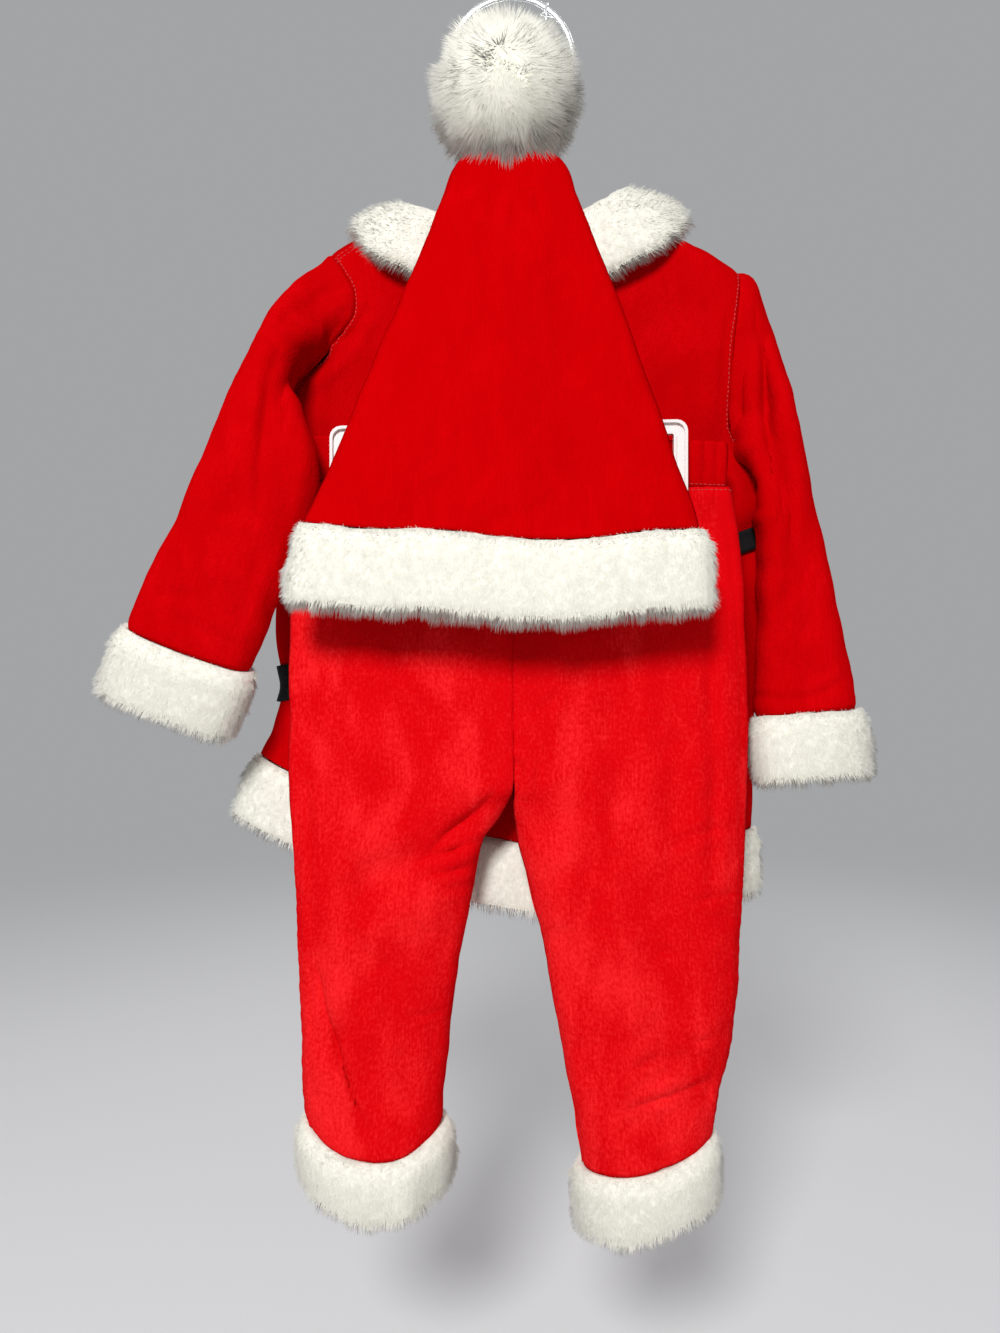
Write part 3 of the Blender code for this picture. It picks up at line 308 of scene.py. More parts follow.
# Creases and soft ridges of each piece, in the front view: a bow from its first point past its second to its
# third, how wide it is and how far it stands out (or sinks).
BOWS = {
    # x1 z1 x2 z2 x3 z3 width out
    "trousers_back_left": [
        (-100, -373, -98, -436, -103, -483, 6, 1.2),
        (-112, -399, -110, -467, -106, -525, 5, -1.2),
        (-106, -540, -94, -586, -77, -631, 2.4, -2.6),
        (-96, -544, -85, -588, -71, -628, 5, 1.4),
        (-5, -456, -23, -468, -46, -489, 4.5, -1.6),
        (-8, -450, -25, -467, -40, -477, 2.2, -1.3),
        (-12, -463, -27, -475, -44, -488, 2.4, 1.1),
        (-18, -477, -31, -484, -46, -487, 2.0, -1.5),
        (-18, -484, -33, -490, -52, -494, 2.2, 1.0),
        (-19, -492, -35, -496, -55, -498, 2.0, -1.3),
        (-18, -501, -33, -504, -52, -501, 2.6, -0.8),
        (-88, -522, -78, -538, -62, -549, 4.5, -1.0),
        (-88, -536, -82, -554, -77, -568, 4.0, -0.9),
        (-60, -569, -47, -571, -35, -568, 1.6, -0.9),
        (-86, -373, -77, -415, -85, -457, 12, 1.0),
        (-46, -399, -41, -436, -52, -472, 13, -0.8),
        (-96, -480, -86, -499, -88, -522, 5, 0.9),
        (-62, -583, -57, -601, -60, -620, 6, -0.7),
    ],
    "trousers_back_right": [
        (-1, -435, 4, -442, 3, -457, 2.0, -1.5),
        (2, -432, 9, -440, 7, -457, 2.2, 1.0),
        (5, -414, 17, -408, 26, -399, 3.0, -1.0),
        (68, -378, 73, -441, 70, -515, 10, 1.2),
        (92, -373, 97, -436, 93, -504, 8, 1.3),
        (105, -357, 106, -436, 104, -509, 4.5, -1.5),
        (112, -299, 114, -404, 113, -488, 4.0, 0.9),
        (81, -484, 97, -476, 118, -472, 3.2, -1.2),
        (57, -621, 80, -613, 102, -607, 2.5, -1.8),
        (67, -614, 85, -607, 103, -600, 4.5, 1.2),
        (60, -602, 74, -594, 94, -592, 3.0, -0.9),
        (73, -542, 80, -536, 86, -542, 2.5, -0.8),
        (87, -580, 98, -584, 107, -580, 2.0, -0.9),
        (40, -499, 47, -562, 44, -609, 10, -1.1),
        (94, -512, 106, -509, 118, -508, 3.0, -1.0),
        (25, -472, 28, -509, 32, -551, 8, 0.9),
        (49, -399, 55, -436, 52, -483, 9, -0.9),
    ],
    "hat_back": [
        (-55, -205, -66, -264, -76, -314, 20, 1.3),
        (-22, -178, -20, -192, -21, -206, 4, 0.5),
        (23, -175, 34, -254, 44, -319, 18, -1.0),
        (-14, -155, -8, -230, -1, -319, 18, 1.1),
        (-37, -220, -41, -269, -43, -316, 16, -0.8),
        (-70, -303, -69, -310, -71, -317, 3.0, 0.7),
        (-58, -305, -56, -311, -58, -317, 3.0, -0.6),
        (-23, -304, -21, -312, -23, -320, 3.5, 0.7),
        (-11, -308, -10, -314, -11, -322, 3.0, -0.5),
        (3, -309, 4, -315, 4, -323, 3.5, 0.6),
        (37, -310, 38, -315, 37, -323, 3.5, -0.6),
        (80, -289, 82, -302, 87, -316, 4.0, 0.8),
        (10, -140, 13, -148, 16, -158, 3.0, -0.8),
        (-18, -141, -20, -149, -23, -159, 3.0, -0.8),
        (-4, -143, -4, -151, -6, -162, 3.5, 0.8),
        (-78, -274, -66, -272, -56, -277, 4, 0.5),
    ],
    "coat_back": [
        (121, -178, 116, -212, 114, -258, 6, 1.2),
        (107, -190, 101, -235, 107, -275, 12, 1.0),
        (84, -172, 95, -195, 107, -207, 8, -0.8),
        (131, -178, 133, -224, 130, -269, 5, 1.8),
        (138, -195, 136, -246, 139, -292, 4, -1.4),
        (123, -178, 122, -207, 119, -235, 2.2, -0.9),
        (-104, -178, -92, -190, -80, -188, 5, 1.2),
        (-84, -182, -103, -204, -124, -223, 5, -4.6),
        (-115, -232, -110, -246, -115, -261, 5, 0.8),
        (-132, -400, -129, -423, -135, -443, 5, 1.2),
        (132, -326, 134, -372, 132, -417, 5, 1.5),
    ],
    "sleeve_left": [
        (-94, -172, -114, -194, -130, -214, 6, 3.6),
        (-112, -192, -119, -207, -127, -219, 6, 3.2),
        (-131, -208, -136, -248, -137, -325, 3.2, 1.6),
        (-117, -219, -122, -240, -120, -278, 3.2, -2.2),
        (-120, -278, -116, -308, -121, -337, 6, -1.0),
        (-156, -311, -151, -307, -142, -308, 4, -0.6),
        (-160, -258, -153, -289, -162, -331, 11, 1.0),
        (-174, -289, -178, -315, -184, -347, 8, -0.8),
        (-179, -352, -161, -358, -140, -373, 5, 0.9),
        (-190, -347, -171, -352, -152, -361, 4, -0.8),
        (-111, -276, -111, -289, -114, -305, 4, 0.9),
        (-143, -331, -144, -352, -140, -373, 4, -0.7),
        (-130, -331, -134, -352, -136, -378, 3.0, 0.7),
        (-128, -224, -126, -248, -129, -268, 5, -0.8),
    ],
    "sleeve_right": [
        (146, -195, 145, -246, 144, -298, 3.5, -2.8),
        (155, -190, 157, -250, 160, -310, 6, 1.5),
        (127, -244, 135, -257, 142, -274, 6, 4.5),
        (141, -272, 143, -296, 144, -312, 6, 3.2),
        (144, -306, 144, -330, 144, -358, 6, 3.2),
        (142, -300, 140, -338, 138, -372, 4, -1.2),
        (151, -249, 154, -305, 153, -372, 10, 1.2),
        (168, -305, 173, -349, 179, -383, 6, 0.9),
        (134, -401, 161, -404, 187, -390, 3.2, -1.3),
        (134, -409, 161, -412, 189, -405, 3.5, 1.0),
        (161, -277, 163, -316, 161, -349, 8, -0.8),
        (155, -361, 168, -366, 180, -372, 5, -0.7),
        (145, -327, 149, -349, 147, -377, 5, -0.8),
    ],
    "coat_front": [
        (-90, -300, -80, -360, -95, -430, 8, 1.4),
        (-40, -320, -45, -390, -38, -460, 7, -1.2),
        (50, -310, 42, -380, 55, -455, 8, 1.3),
        (100, -300, 96, -360, 104, -430, 6, -1.3),
        (-110, -230, -80, -245, -50, -240, 5, -1.1),
        (60, -215, 90, -235, 118, -232, 5, 1.1),
        (-70, -180, -60, -215, -72, -250, 7, 0.9),
        (70, -185, 62, -220, 72, -255, 7, -0.8),
    ],
    "trousers_front": [
        (-80, -340, -74, -400, -82, -460, 9, 1.2),
        (-45, -330, -48, -390, -42, -440, 8, -1.0),
        (-12, -445, -40, -470, -78, -492, 4, -1.7),
        (-14, -455, -44, -484, -80, -505, 4, 1.2),
        (-96, -560, -88, -600, -70, -630, 5, -1.2),
        (-60, -540, -66, -580, -60, -615, 7, 0.9),
        (14, -450, 40, -474, 78, -490, 4, -1.6),
        (16, -462, 44, -488, 80, -500, 4, 1.2),
        (90, -340, 98, -420, 92, -520, 9, 1.2),
        (60, -520, 66, -570, 60, -620, 8, -1.0),
        (50, -610, 76, -618, 102, -606, 3, -1.5),
    ],
    "hat_front": [
        (-60, -230, -66, -270, -74, -312, 12, 1.2),
        (10, -180, 6, -240, 12, -310, 14, -1.0),
        (50, -220, 56, -265, 66, -312, 12, 1.0),
        (-8, -130, -10, -150, -12, -175, 4, 0.8),
        (-30, -296, -28, -306, -30, -317, 3, 0.7),
        (30, -294, 32, -305, 30, -317, 3, -0.6),
    ],
}


def cubic(values, places, at):
    """The values at `at`: between two places, the cubic that meets both values with their slopes."""
    slope = np.gradient(values, places, axis=0)
    i = np.clip(np.searchsorted(places, at, side="right") - 1, 0, len(places) - 2)
    shape = at.shape + (1,) * (values.ndim - 1)
    h = (places[i + 1] - places[i]).reshape(shape)
    u = (at - places[i]).reshape(shape) / h
    return (
        (1 + 2 * u) * (1 - u) ** 2 * values[i]
        + u * (1 - u) ** 2 * h * slope[i]
        + u * u * (3 - 2 * u) * values[i + 1]
        + u * u * (u - 1) * h * slope[i + 1]
    )


def read(table, columns, at):
    """The table's columns at the places `at` of its first column, by a smooth cubic through its rows."""
    t = np.asarray(table, float)
    rising = 1 if t[-1, 0] > t[0, 0] else -1
    value = cubic(t, t[:, 0] * rising, np.asarray(at, float) * rising)
    return dict(zip(columns, np.moveaxis(value, -1, 0)))


def unit(v):
    """Vectors of length 1."""
    return v / np.maximum(np.linalg.norm(v, axis=-1, keepdims=True), 1e-9)


def ease(x):
    """0 below 0, 1 above 1 and a soft step between: 3x² - 2x³."""
    x = np.clip(x, 0.0, 1.0)
    return x * x * (3 - 2 * x)


def between(x, start, stop):
    """A soft step from 0 at `start` to 1 at `stop`, which may be the lower one."""
    return ease((x - start) / (stop - start))


def bell(x):
    """1 at 0 and softly down to 0 on both sides: e to the power of -x²."""
    return np.exp(-(x**2))


def lens(u, square, blunt):
    """Half the thickness of a lens at u from -1 to 1, 1 in its middle: (1 - |u|^square)^blunt."""
    return (1 - np.abs(u) ** square) ** blunt


def bulged(wave, power):
    """A sine or cosine with its swing made fuller: |wave|^power with the wave's own sign."""
    return np.sign(wave) * np.abs(wave) ** power


def seam_to_seam(count, first=-90, last=90):
    """Places across from -1 to 1, closer together near the seams: the sines of even angles."""
    return np.sin(np.radians(np.linspace(first, last, count)))


def slope_along(grid, axis, closed):
    """Half the way from one neighbour to the other along an axis of the grid."""
    if closed:
        return (np.roll(grid, -1, axis=axis) - np.roll(grid, 1, axis=axis)) / 2
    return np.gradient(grid, axis=axis)


def folds(table, x, z):
    """How far the folds of a table stand out at (x, z): a soft bell across each line, fading at its ends."""
    out = np.zeros(np.broadcast(x, z).shape)
    for x1, z1, x2, z2, width, height in table:
        dx, dz = x2 - x1, z2 - z1
        length = np.hypot(dx, dz)
        along = ((x - x1) * dx + (z - z1) * dz) / length
        across = ((x - x1) * dz - (z - z1) * dx) / length
        past = np.maximum(np.maximum(-along, along - length), 0.0)
        out = out + height * np.exp(-(across**2 + past**2) / width**2)
    return out


def outward(points, flip, closed=False, closed_run=False):
    """Unit normals of a grid of points: its slope down its rows crossed with its slope across them.

    The grid may be closed across, and along its run of rows as well.
    """
    n = unit(np.cross(slope_along(points, 0, closed_run), slope_along(points, 1, closed)))
    return -n if flip else n


def shoulder(x, face):
    """Height of the coat's upper edge: it falls by the square of the way past the neck.

    Inside the neck it dips as a parabola.
    """
    fall = np.where(x < 0, SHOULDER_FALL["left"], SHOULDER_FALL["right"])
    rounded = SHOULDER_TOP - fall * np.maximum(np.abs(x) - NECK_HALF, 0.0) ** 2
    inside = np.clip(1 - (x / NECK_HALF) ** 2, 0.0, 1.0)
    return rounded - NECK_DROP[face] * inside


def coat(across, down, face):
    """A point of the coat's cloth: `across` from -1 to 1, `down` in mm, on its back (-Y) or front (+Y).

    A row is a lens from side to side, plus its folds as bells across it. Over RIDGE_DOWN it closes, along a
    quarter circle, to a ridge at the shoulders.
    """
    across, down = np.broadcast_arrays(np.asarray(across, float), np.asarray(down, float))
    row = read(COAT, COAT_COLUMNS, down)
    top = read(COAT, COAT_COLUMNS, np.zeros_like(down))

    def height(r):
        middle = (r["z_left"] + r["z_right"]) / 2
        return middle + across * (r["z_right"] - r["z_left"]) / 2 + (r["z_mid"] - middle) * (1 - across**2)

    x = (row["x_left"] * (1 - across) + row["x_right"] * (1 + across)) / 2
    x_top = (top["x_left"] * (1 - across) + top["x_right"] * (1 + across)) / 2
    z = height(row) + (shoulder(x_top, face) - height(top)) * (1 - ease(down / SHOULDER_REACH))
    edge = np.maximum(np.where(across < 0, row["open_left"], row["open_right"]), SEWN_HALF)
    body = edge + (row["depth"] - edge) * lens(across, 2.6, 0.55)
    ridge = np.sqrt(1 - (1 - np.clip(down / RIDGE_DOWN, 0, 1)) ** 2)
    neck = ease((NECK_HALF + NECK_PAST - np.abs(x_top)) / NECK_OPENS)
    body = SEWN_HALF + (body - SEWN_HALF) * (ridge + (1 - ridge) * neck)
    for place, width, out, start, end in COAT_FOLDS:
        grow = ease((down - start) / (FOLD_GROWS * (end - start)))
        if end < COAT_ROWS[-1]:
            grow = grow * (1 - ease((down - end + FOLD_ENDS) / FOLD_ENDS))
        body = body + out * bell((across - place) / width) * grow
    body = np.maximum(body, SEWN_HALF)
    side = -1.0 if face == "back" else 1.0
    return np.stack([x, COAT_MID + side * body, z], axis=-1)


def armhole_edge(side, angles):
    """The coat's own edge round the armhole: down its back and up its front, by the cosine of the angle."""
    down = ARMHOLE_END * (1 - np.cos(angles)) / 2
    back, front = (coat(np.full_like(down, SIDE_SIGN[side]), down, face) for face in ("back", "front"))
    ring = np.where((np.sin(angles) >= 0)[:, None], back, front)
    ring[np.abs(np.sin(angles)) < 1e-6, 1] = COAT_MID
    return ring


def armhole(side, angles):
    """The sleeve's first ring: the armhole's edge moved out, more under the arm and along the left back."""
    ring = armhole_edge(side, angles)
    low = np.maximum(-np.cos(angles), 0)
    near = np.maximum(np.sin(angles), 0) ** 0.5 if side == "left" else 0.0
    ring[:, 0] += (ARMHOLE_GAP + UNDERARM_GAP * low + LEFT_BACK_GAP * near) * SIDE_SIGN[side]
    ring[:, 2] += ARMHOLE_LIFT * ease((-np.cos(angles) - 0.6) / 0.4)
    return ring


def sleeve(side, along, angles):
    """A sleeve's cloth: full ellipses between its outer and inner edge, square to its path.

    Over SLEEVE_GROWS they grow out of the armhole, which the sleeve first leaves sideways, less so under the
    arm. The left sleeve swings towards -Y, and its turn is evened out by means of neighbouring points.
    """
    r = read(SLEEVE[side], SLEEVE_COLUMNS, along)
    outer = np.stack([r["x_out"], r["y_out"], r["z_out"]], axis=-1)
    inner = np.stack([r["x_in"], r["y_in"], r["z_in"]], axis=-1)
    centre, half_width = (outer + inner) / 2, (outer - inner) / 2
    path = unit(np.gradient(centre, along, axis=0))
    thick = unit(np.cross(half_width, path)) * -SIDE_SIGN[side]
    c, s = np.cos(angles)[None, :, None], np.sin(angles)[None, :, None]
    c, s = bulged(c, 0.9), bulged(s, 0.75)
    ring = centre[:, None] + c * half_width[:, None]
    stand = folds(SLEEVE_FOLDS[side], ring[..., 0], ring[..., 2])
    ring = ring + thick[:, None] * (s * r["half"][:, None, None] + np.maximum(s, 0) * stand[..., None])
    grown = ease(along / SLEEVE_GROWS)[:, None, None]
    underarm = ease((-np.cos(angles) - 0.7) / 0.3)[None, :]
    step = SLEEVE_STEP * np.clip(along / STEP_GROWS, 0, 1)[:, None] * (1 - STEP_LESS * underarm)
    lean = np.maximum(np.sin(angles), 0)[:, None] * (1.0 if side == "left" else 0.0)
    way = np.array([SIDE_SIGN[side], 0.0, 0.0]) + lean * LEFT_STEP
    root = armhole(side, angles)[None] + step[..., None] * way[None]
    points = root * (1 - grown) + ring * grown
    if side == "left":
        turn = (ease(along / 0.1) * (1 - ease((along - 0.3) / 0.2)))[:, None, None]
        for _ in range(3):
            points = points + turn * (neighbours(points) - points)
    return points


def neighbours(ring):
    """The mean of each point's four neighbours on a closed tube; the two end rows stay as they are."""
    mean = ring.copy()
    round_ = np.roll(ring, 1, axis=1) + np.roll(ring, -1, axis=1)
    mean[1:-1] = (ring[2:] + ring[:-2] + round_[1:-1]) / 4
    return mean


def trousers(side, face, along, across):
    """A leg panel: `across` from 0 at the centre or inside-leg seam to 1 at the side seam.

    Above the crotch a row is half a lens, thickest at the centre seam. Below it is a whole one. The folds
    stand on it, and fade out at the seams.
    """
    r = read(TROUSERS[side], TROUSER_COLUMNS, along)
    col = {k: v[:, None] for k, v in r.items()}
    u = np.asarray(across, float)[None, :]
    sign = SIDE_SIGN[side]
    x_in = sign * np.maximum(sign * col["x_in"], 0.0) + sign * SEAM / 2
    x = x_in + (col["x_out"] - x_in) * u
    still = np.clip(col["open"], 0, 1)
    shape = still * lens(u, 2.6, 0.55) + (1 - still) * lens(2 * u - 1, 2.4, 0.55)
    half = SEWN_HALF + (col["half"] - SEWN_HALF) * shape
    z = col["z_in"] + (col["z_out"] - col["z_in"]) * u
    z = z - (1 if face == "back" else -0.5) * np.maximum(col["drop"], 0) * (1 - (2 * u - 1) ** 2)
    out = folds(TROUSER_FOLDS, x, z) * ease(u * SEAM_SHARE) * ease((1 - u) * SEAM_SHARE)
    half = np.maximum(half + (out if face == "back" else 0.5 * out), SEWN_HALF)
    y = col["mid"] + (-half if face == "back" else half)
    return np.stack([x, y, z + 0 * x], axis=-1)


def waist(rows, columns):
    """The elastic casing, rows from its upper edge (0) to its stitch line (1).

    It is a flat ellipse with full ends, and its gathers are a cosine across it.
    """
    v, a = np.asarray(rows)[:, None], np.asarray(columns)[None, :]
    c, s = bulged(np.cos(a), 0.9), bulged(np.sin(a), 0.6)
    left, right = WAIST_SIDES
    share = (1 + c) / 2
    x = left + (right - left) * share
    top = WAIST_TOP["left"] * (1 - share) + WAIST_TOP["right"] * share
    foot = WAIST_FOOT["left"] * (1 - share) + WAIST_FOOT["right"] * share + 2 * SEAM
    z = top + (foot - top) * v
    gather = GATHER * np.cos(2 * np.pi * x / GATHER_PITCH)
    y = WAIST_DEPTH - s * (WAIST_HALF + gather * np.sqrt(np.abs(s)))
    return np.stack([x + 0 * v, y + 0 * v, z], axis=-1)


def hat(face, z, across):
    """A cone panel of the hat, `across` from -1 at its left seam to 1 at its right one: rows of lenses."""
    r = read(HAT, HAT_COLUMNS, z)
    col = {k: v[:, None] for k, v in r.items()}
    u, z = np.asarray(across, float)[None, :], np.asarray(z)[:, None]
    x = (col["x_left"] * (1 - u) + col["x_right"] * (1 + u)) / 2
    half = SEWN_HALF + (col["half"] - SEWN_HALF) * lens(u, 2.2, 0.6)
    half = half + folds(HAT_FOLDS, x, z) * (1 - u**4)
    y = col["mid"] + np.maximum(half, SEWN_HALF) * (-1 if face == "back" else 1)
    rise = read(HAT_EDGE, ("x", "rise"), x)["rise"] * between(z, *HAT_EDGE_RISES)
    return np.stack([x, y, z + rise], axis=-1)


def fur_sections(loop, out, down, height, thick=FUR):
    """Sections of a fur trim: FUR_SECTION out and down from each point of a loop."""
    section = np.asarray(FUR_SECTION)
    n = section[:, 0][None, :, None] * thick
    s = section[:, 1][None, :, None] * height + SEAM
    return loop[:, None] + out[:, None] * n + down[:, None] * s


def cuff_frame(last, before):
    """Outward and downward directions round the last ring of a tube, from its axis and its own edge."""
    centre = last.mean(axis=0)
    axis = unit(centre - before.mean(axis=0))
    tangent = np.roll(last, -1, axis=0) - np.roll(last, 1, axis=0)
    out = unit(np.cross(tangent, axis))
    if np.sum(out * (last - centre)) < 0:
        out = -out
    down = unit(0.4 * unit(last - before) + axis)
    out = unit(out - down * np.sum(out * down, axis=1, keepdims=True))
    return out, down


def coat_ring(rows):
    """The coat's cloth all the way round, from the left side seam over the back to the right one and back."""
    back = coat(seam_to_seam(21)[None, :], rows[:, None], "back")
    front = coat(seam_to_seam(19, 90, -90)[None, :], rows[:, None], "front")
    return np.concatenate([back, front], axis=1)


# --------------------------------------------------------------------------------------------------
# Fine surfaces


def resample(grid, count, closed=False):
    """The grid's rows at `count` places, evenly by their mean spacing, by a cubic through the given rows."""
    if closed:
        grid = np.concatenate([grid[-2:], grid, grid[:3]])
    gap = np.linalg.norm(np.diff(grid, axis=0), axis=2).mean(axis=1)
    place = np.concatenate([[0.0], np.cumsum(gap)])
    first, last = (2, len(grid) - 3) if closed else (0, len(grid) - 1)
    return cubic(grid, place, np.linspace(place[first], place[last], count, endpoint=not closed))


def side_lengths(grid, closed=False):
    """The mean length of the grid's columns (down) and its longest row (across)."""
    down = np.linalg.norm(np.diff(grid, axis=0), axis=2).sum(axis=0).mean()
    turned = np.concatenate([grid, grid[:, :1]], axis=1) if closed else grid
    across = np.linalg.norm(np.diff(turned, axis=1), axis=2).sum(axis=1).max()
    return down, across


def fine(grid, step, closed=False):
    """The grid with its rows and columns about `step` mm apart."""
    down, across = side_lengths(grid, closed)
    rows = resample(grid, max(3, int(np.ceil(down / step)) + 1))
    columns = resample(np.swapaxes(rows, 0, 1), max(3, int(np.ceil(across / step)) + 1), closed)
    return np.swapaxes(columns, 0, 1)


def waves(points, length, seed, count=9):
    """Soft random hills about -1 to 1 high: a sum of sine waves of about that length in random directions."""
    draw = np.random.RandomState(seed)
    total = np.zeros(points.shape[:-1])
    for way in unit(draw.normal(size=(count, 3))):
        turn = 2 * np.pi / (length * draw.uniform(0.7, 1.5))
        total += np.sin(points @ way * turn + draw.uniform(0, 2 * np.pi))
    return total / count**0.5


def drift(points, length, seed):
    """A soft random direction at each point: three fields of waves, one for each axis."""
    return np.stack([waves(points, length, seed + k, 7) for k in (1, 2, 3)], axis=-1)


def creases(points, table, seed):
    """Troughs and ridges, each along a bow from (x1, z1) past (x2, z2) to (x3, z3) in the front view.

    The bow is a parabola through its three points. Across it the height is a bell, with softer shoulders of
    the other sign beside it. Along it the height swells from its ends, unevenly, and so does its width.
    """
    draw = np.random.RandomState(seed)
    t = np.linspace(0, 1, 48)
    rise = np.zeros(points.shape[:-1])
    x, z = points[..., 0].ravel(), points[..., 2].ravel()
    flat = rise.ravel()
    for x1, z1, x2, z2, x3, z3, width, high in table:
        bow_x = (1 - t) ** 2 * x1 + 2 * t * (1 - t) * (2 * x2 - (x1 + x3) / 2) + t * t * x3
        bow_z = (1 - t) ** 2 * z1 + 2 * t * (1 - t) * (2 * z2 - (z1 + z3) / 2) + t * t * z3
        reach = 4 * width
        near = (x > bow_x.min() - reach) & (x < bow_x.max() + reach)
        near &= (z > bow_z.min() - reach) & (z < bow_z.max() + reach)
        k = np.flatnonzero(near)
        away = np.hypot(x[k, None] - bow_x, z[k, None] - bow_z)
        place = away.argmin(axis=1)
        swell = np.sin(np.pi * np.clip(t, 0.02, 0.98)) ** 0.6
        uneven = 1 + 0.25 * np.sin(9 * t + draw.uniform(0, 6)) + 0.15 * np.sin(17 * t + draw.uniform(0, 6))
        d = away.min(axis=1) / (width * (0.6 + 0.4 * swell)[place])
        flat[k] += high * (swell * uneven)[place] * (bell(d) - 0.28 * bell((d - 1.9) / 0.9))
    return flat.reshape(rise.shape)


def edge_distance(grid, edge):
    """How far each point is along the grid from an edge: "top" or "foot" row, "first" or "last" column."""
    axis = 0 if edge in ("top", "foot") else 1
    gap = np.linalg.norm(np.diff(grid, axis=axis), axis=2)
    run = np.cumsum(gap, axis=axis)
    zero = np.zeros_like(np.take(run, [0], axis=axis))
    run = np.concatenate([zero, run], axis=axis)
    return run if edge in ("top", "first") else np.take(run, [-1], axis=axis) - run


def seam_pull(grid, edges, seed):
    """Cloth drawn in at its seams: half a bell, and puckers as a sine along the seam that fades from it."""
    pull = np.zeros(grid.shape[:2])
    for edge in edges:
        d = edge_distance(grid, edge)
        along = edge_distance(grid, "first" if edge in ("top", "foot") else "top")
        pucker = np.sin(2 * np.pi * along / PUCKER_PITCH + 2.2 * np.sin(along / 23.0 + seed) + seed)
        pull += -SEAM_DIP * bell(d / 2.0) + PUCKER * pucker * np.exp(-d / 4.5) * (1 - np.exp(-d / 1.5))
    return pull


def gathers(points, pitch, high, seed):
    """Upright gathers about `pitch` mm apart, uneven in place and height.

    They are |sine|^0.7, with round ridges and narrow valleys.
    """
    wander = 1.3 * waves(points * (1.0, 1.0, 0.3), 45.0, seed)
    ridge = np.abs(np.sin(np.pi * points[..., 0] / pitch + wander)) ** 0.7 - 0.6
    return high * ridge * (0.75 + 0.35 * waves(points, 28.0, seed + 1))


def cut_map(grid):
    """Each point's place on the flat cut, in metres: across from the middle column, down from the top row."""
    across = edge_distance(grid, "first")
    across = across - across[:, across.shape[1] // 2][:, None]
    down = edge_distance(grid, "top").mean(axis=1, keepdims=True) + 0 * across
    return np.stack([across, down], axis=-1) * MM


# --------------------------------------------------------------------------------------------------
# Meshes


def new_object(name, mesh, finish, slot_name, *nodes):
    """A piece of the suit: it rides on the one body and stands for the nodes given. slot_name is not used."""
    obj = bpy.data.objects.new(name, mesh)
    bpy.context.scene.collection.objects.link(obj)
    mesh.materials.append(finish)
    mesh.shade_smooth()
    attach(obj, "root")
    if nodes:
        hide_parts(*nodes)
    return obj


def mesh_of(name, points, faces, uv=None):
    """A mesh from points in mm and an array of faces with like corners; uv is a pair for each point."""
    points = np.asarray(points, float).reshape(-1, 3)
    faces = np.asarray(faces, np.int32)
    corners = faces.shape[1]
    mesh = bpy.data.meshes.new(name)
    mesh.vertices.add(len(points))
    mesh.vertices.foreach_set("co", (points * MM).ravel())
    mesh.loops.add(faces.size)
    mesh.loops.foreach_set("vertex_index", faces.ravel())
    mesh.polygons.add(len(faces))
    mesh.polygons.foreach_set("loop_start", np.arange(0, faces.size, corners, dtype=np.int32))
    if uv is not None:
        layer = mesh.uv_layers.new(name="cut")
        layer.uv.foreach_set("vector", np.asarray(uv, float).reshape(-1, 2)[faces.ravel()].ravel())
    mesh.update(calc_edges=True)
    mesh.validate()
    return mesh


def grid_quads(rows, columns, closed=False, flip=False, closed_run=False):
    """Quads between the rows and columns of a grid, as an array."""
    down, across = rows if closed_run else rows - 1, columns if closed else columns - 1
    i, j = np.meshgrid(np.arange(down), np.arange(across), indexing="ij")
    here, after, k = i * columns, (i + 1) % rows * columns, (j + 1) % columns
    quads = np.stack([here + j, after + j, after + k, here + k], axis=-1).reshape(-1, 4)
    return quads[:, ::-1] if flip else quads


def panel(name, grid, finish, step=2.6, closed=False, flip=False, wall=CLOTH, bows=(), seams=(), hills=0.35,
          held="hung", rests_on=("hanger_arms",), slot_name="red_velour", seed=1, ribs=(), gather=None):
    """One cut piece of cloth: its solid's inner face made fine, creased and given its wall outwards.

    Each point moves along its normal by the sum of two fields of hills, the bows, the pull of the seams, the
    `ribs`, bells beside an edge given as (edge, distance, width, height), and the `gather`, gathers given as
    (pitch, height, reach) that fade below the top edge. It returns the outer face and its normals, for the
    sewing that lies on it.
    """
    smooth = fine(grid, step, closed)
    normal = outward(smooth, flip, closed)
    rise = hills * waves(smooth, HILL_LONG, seed) + 0.3 * hills * waves(smooth, HILL_SHORT, seed + 50)
    rise = rise + creases(smooth, bows, seed) + seam_pull(smooth, seams, seed)
    for edge, inside, width, high in ribs:
        rise += high * bell((edge_distance(smooth, edge) - inside) / width)
    if gather:
        pitch, high, reach = gather
        rise += gathers(smooth, pitch, high, seed) * np.exp(-edge_distance(smooth, "top") / reach)
    inner = smooth + normal * rise[..., None]
    uv = cut_map(smooth)
    mesh = mesh_of(name, inner, grid_quads(*inner.shape[:2], closed, flip), uv)
    obj = new_object(name, mesh, finish, slot_name, name)
    shell = obj.modifiers.new("wall", "SOLIDIFY")
    shell.thickness = wall * MM
    shell.offset = 1.0
    down, across = side_lengths(smooth, closed)
    cells = smooth if not closed else np.concatenate([smooth, smooth[:, :1]], axis=1)
    a, b = np.diff(cells, axis=0)[:, :-1], np.diff(cells, axis=1)[:-1]
    area = min(np.linalg.norm(np.cross(a, b), axis=2).sum(), down * across)
    up = outward(inner, flip, closed)
    return inner + up * wall, up


# --------------------------------------------------------------------------------------------------
# Fur


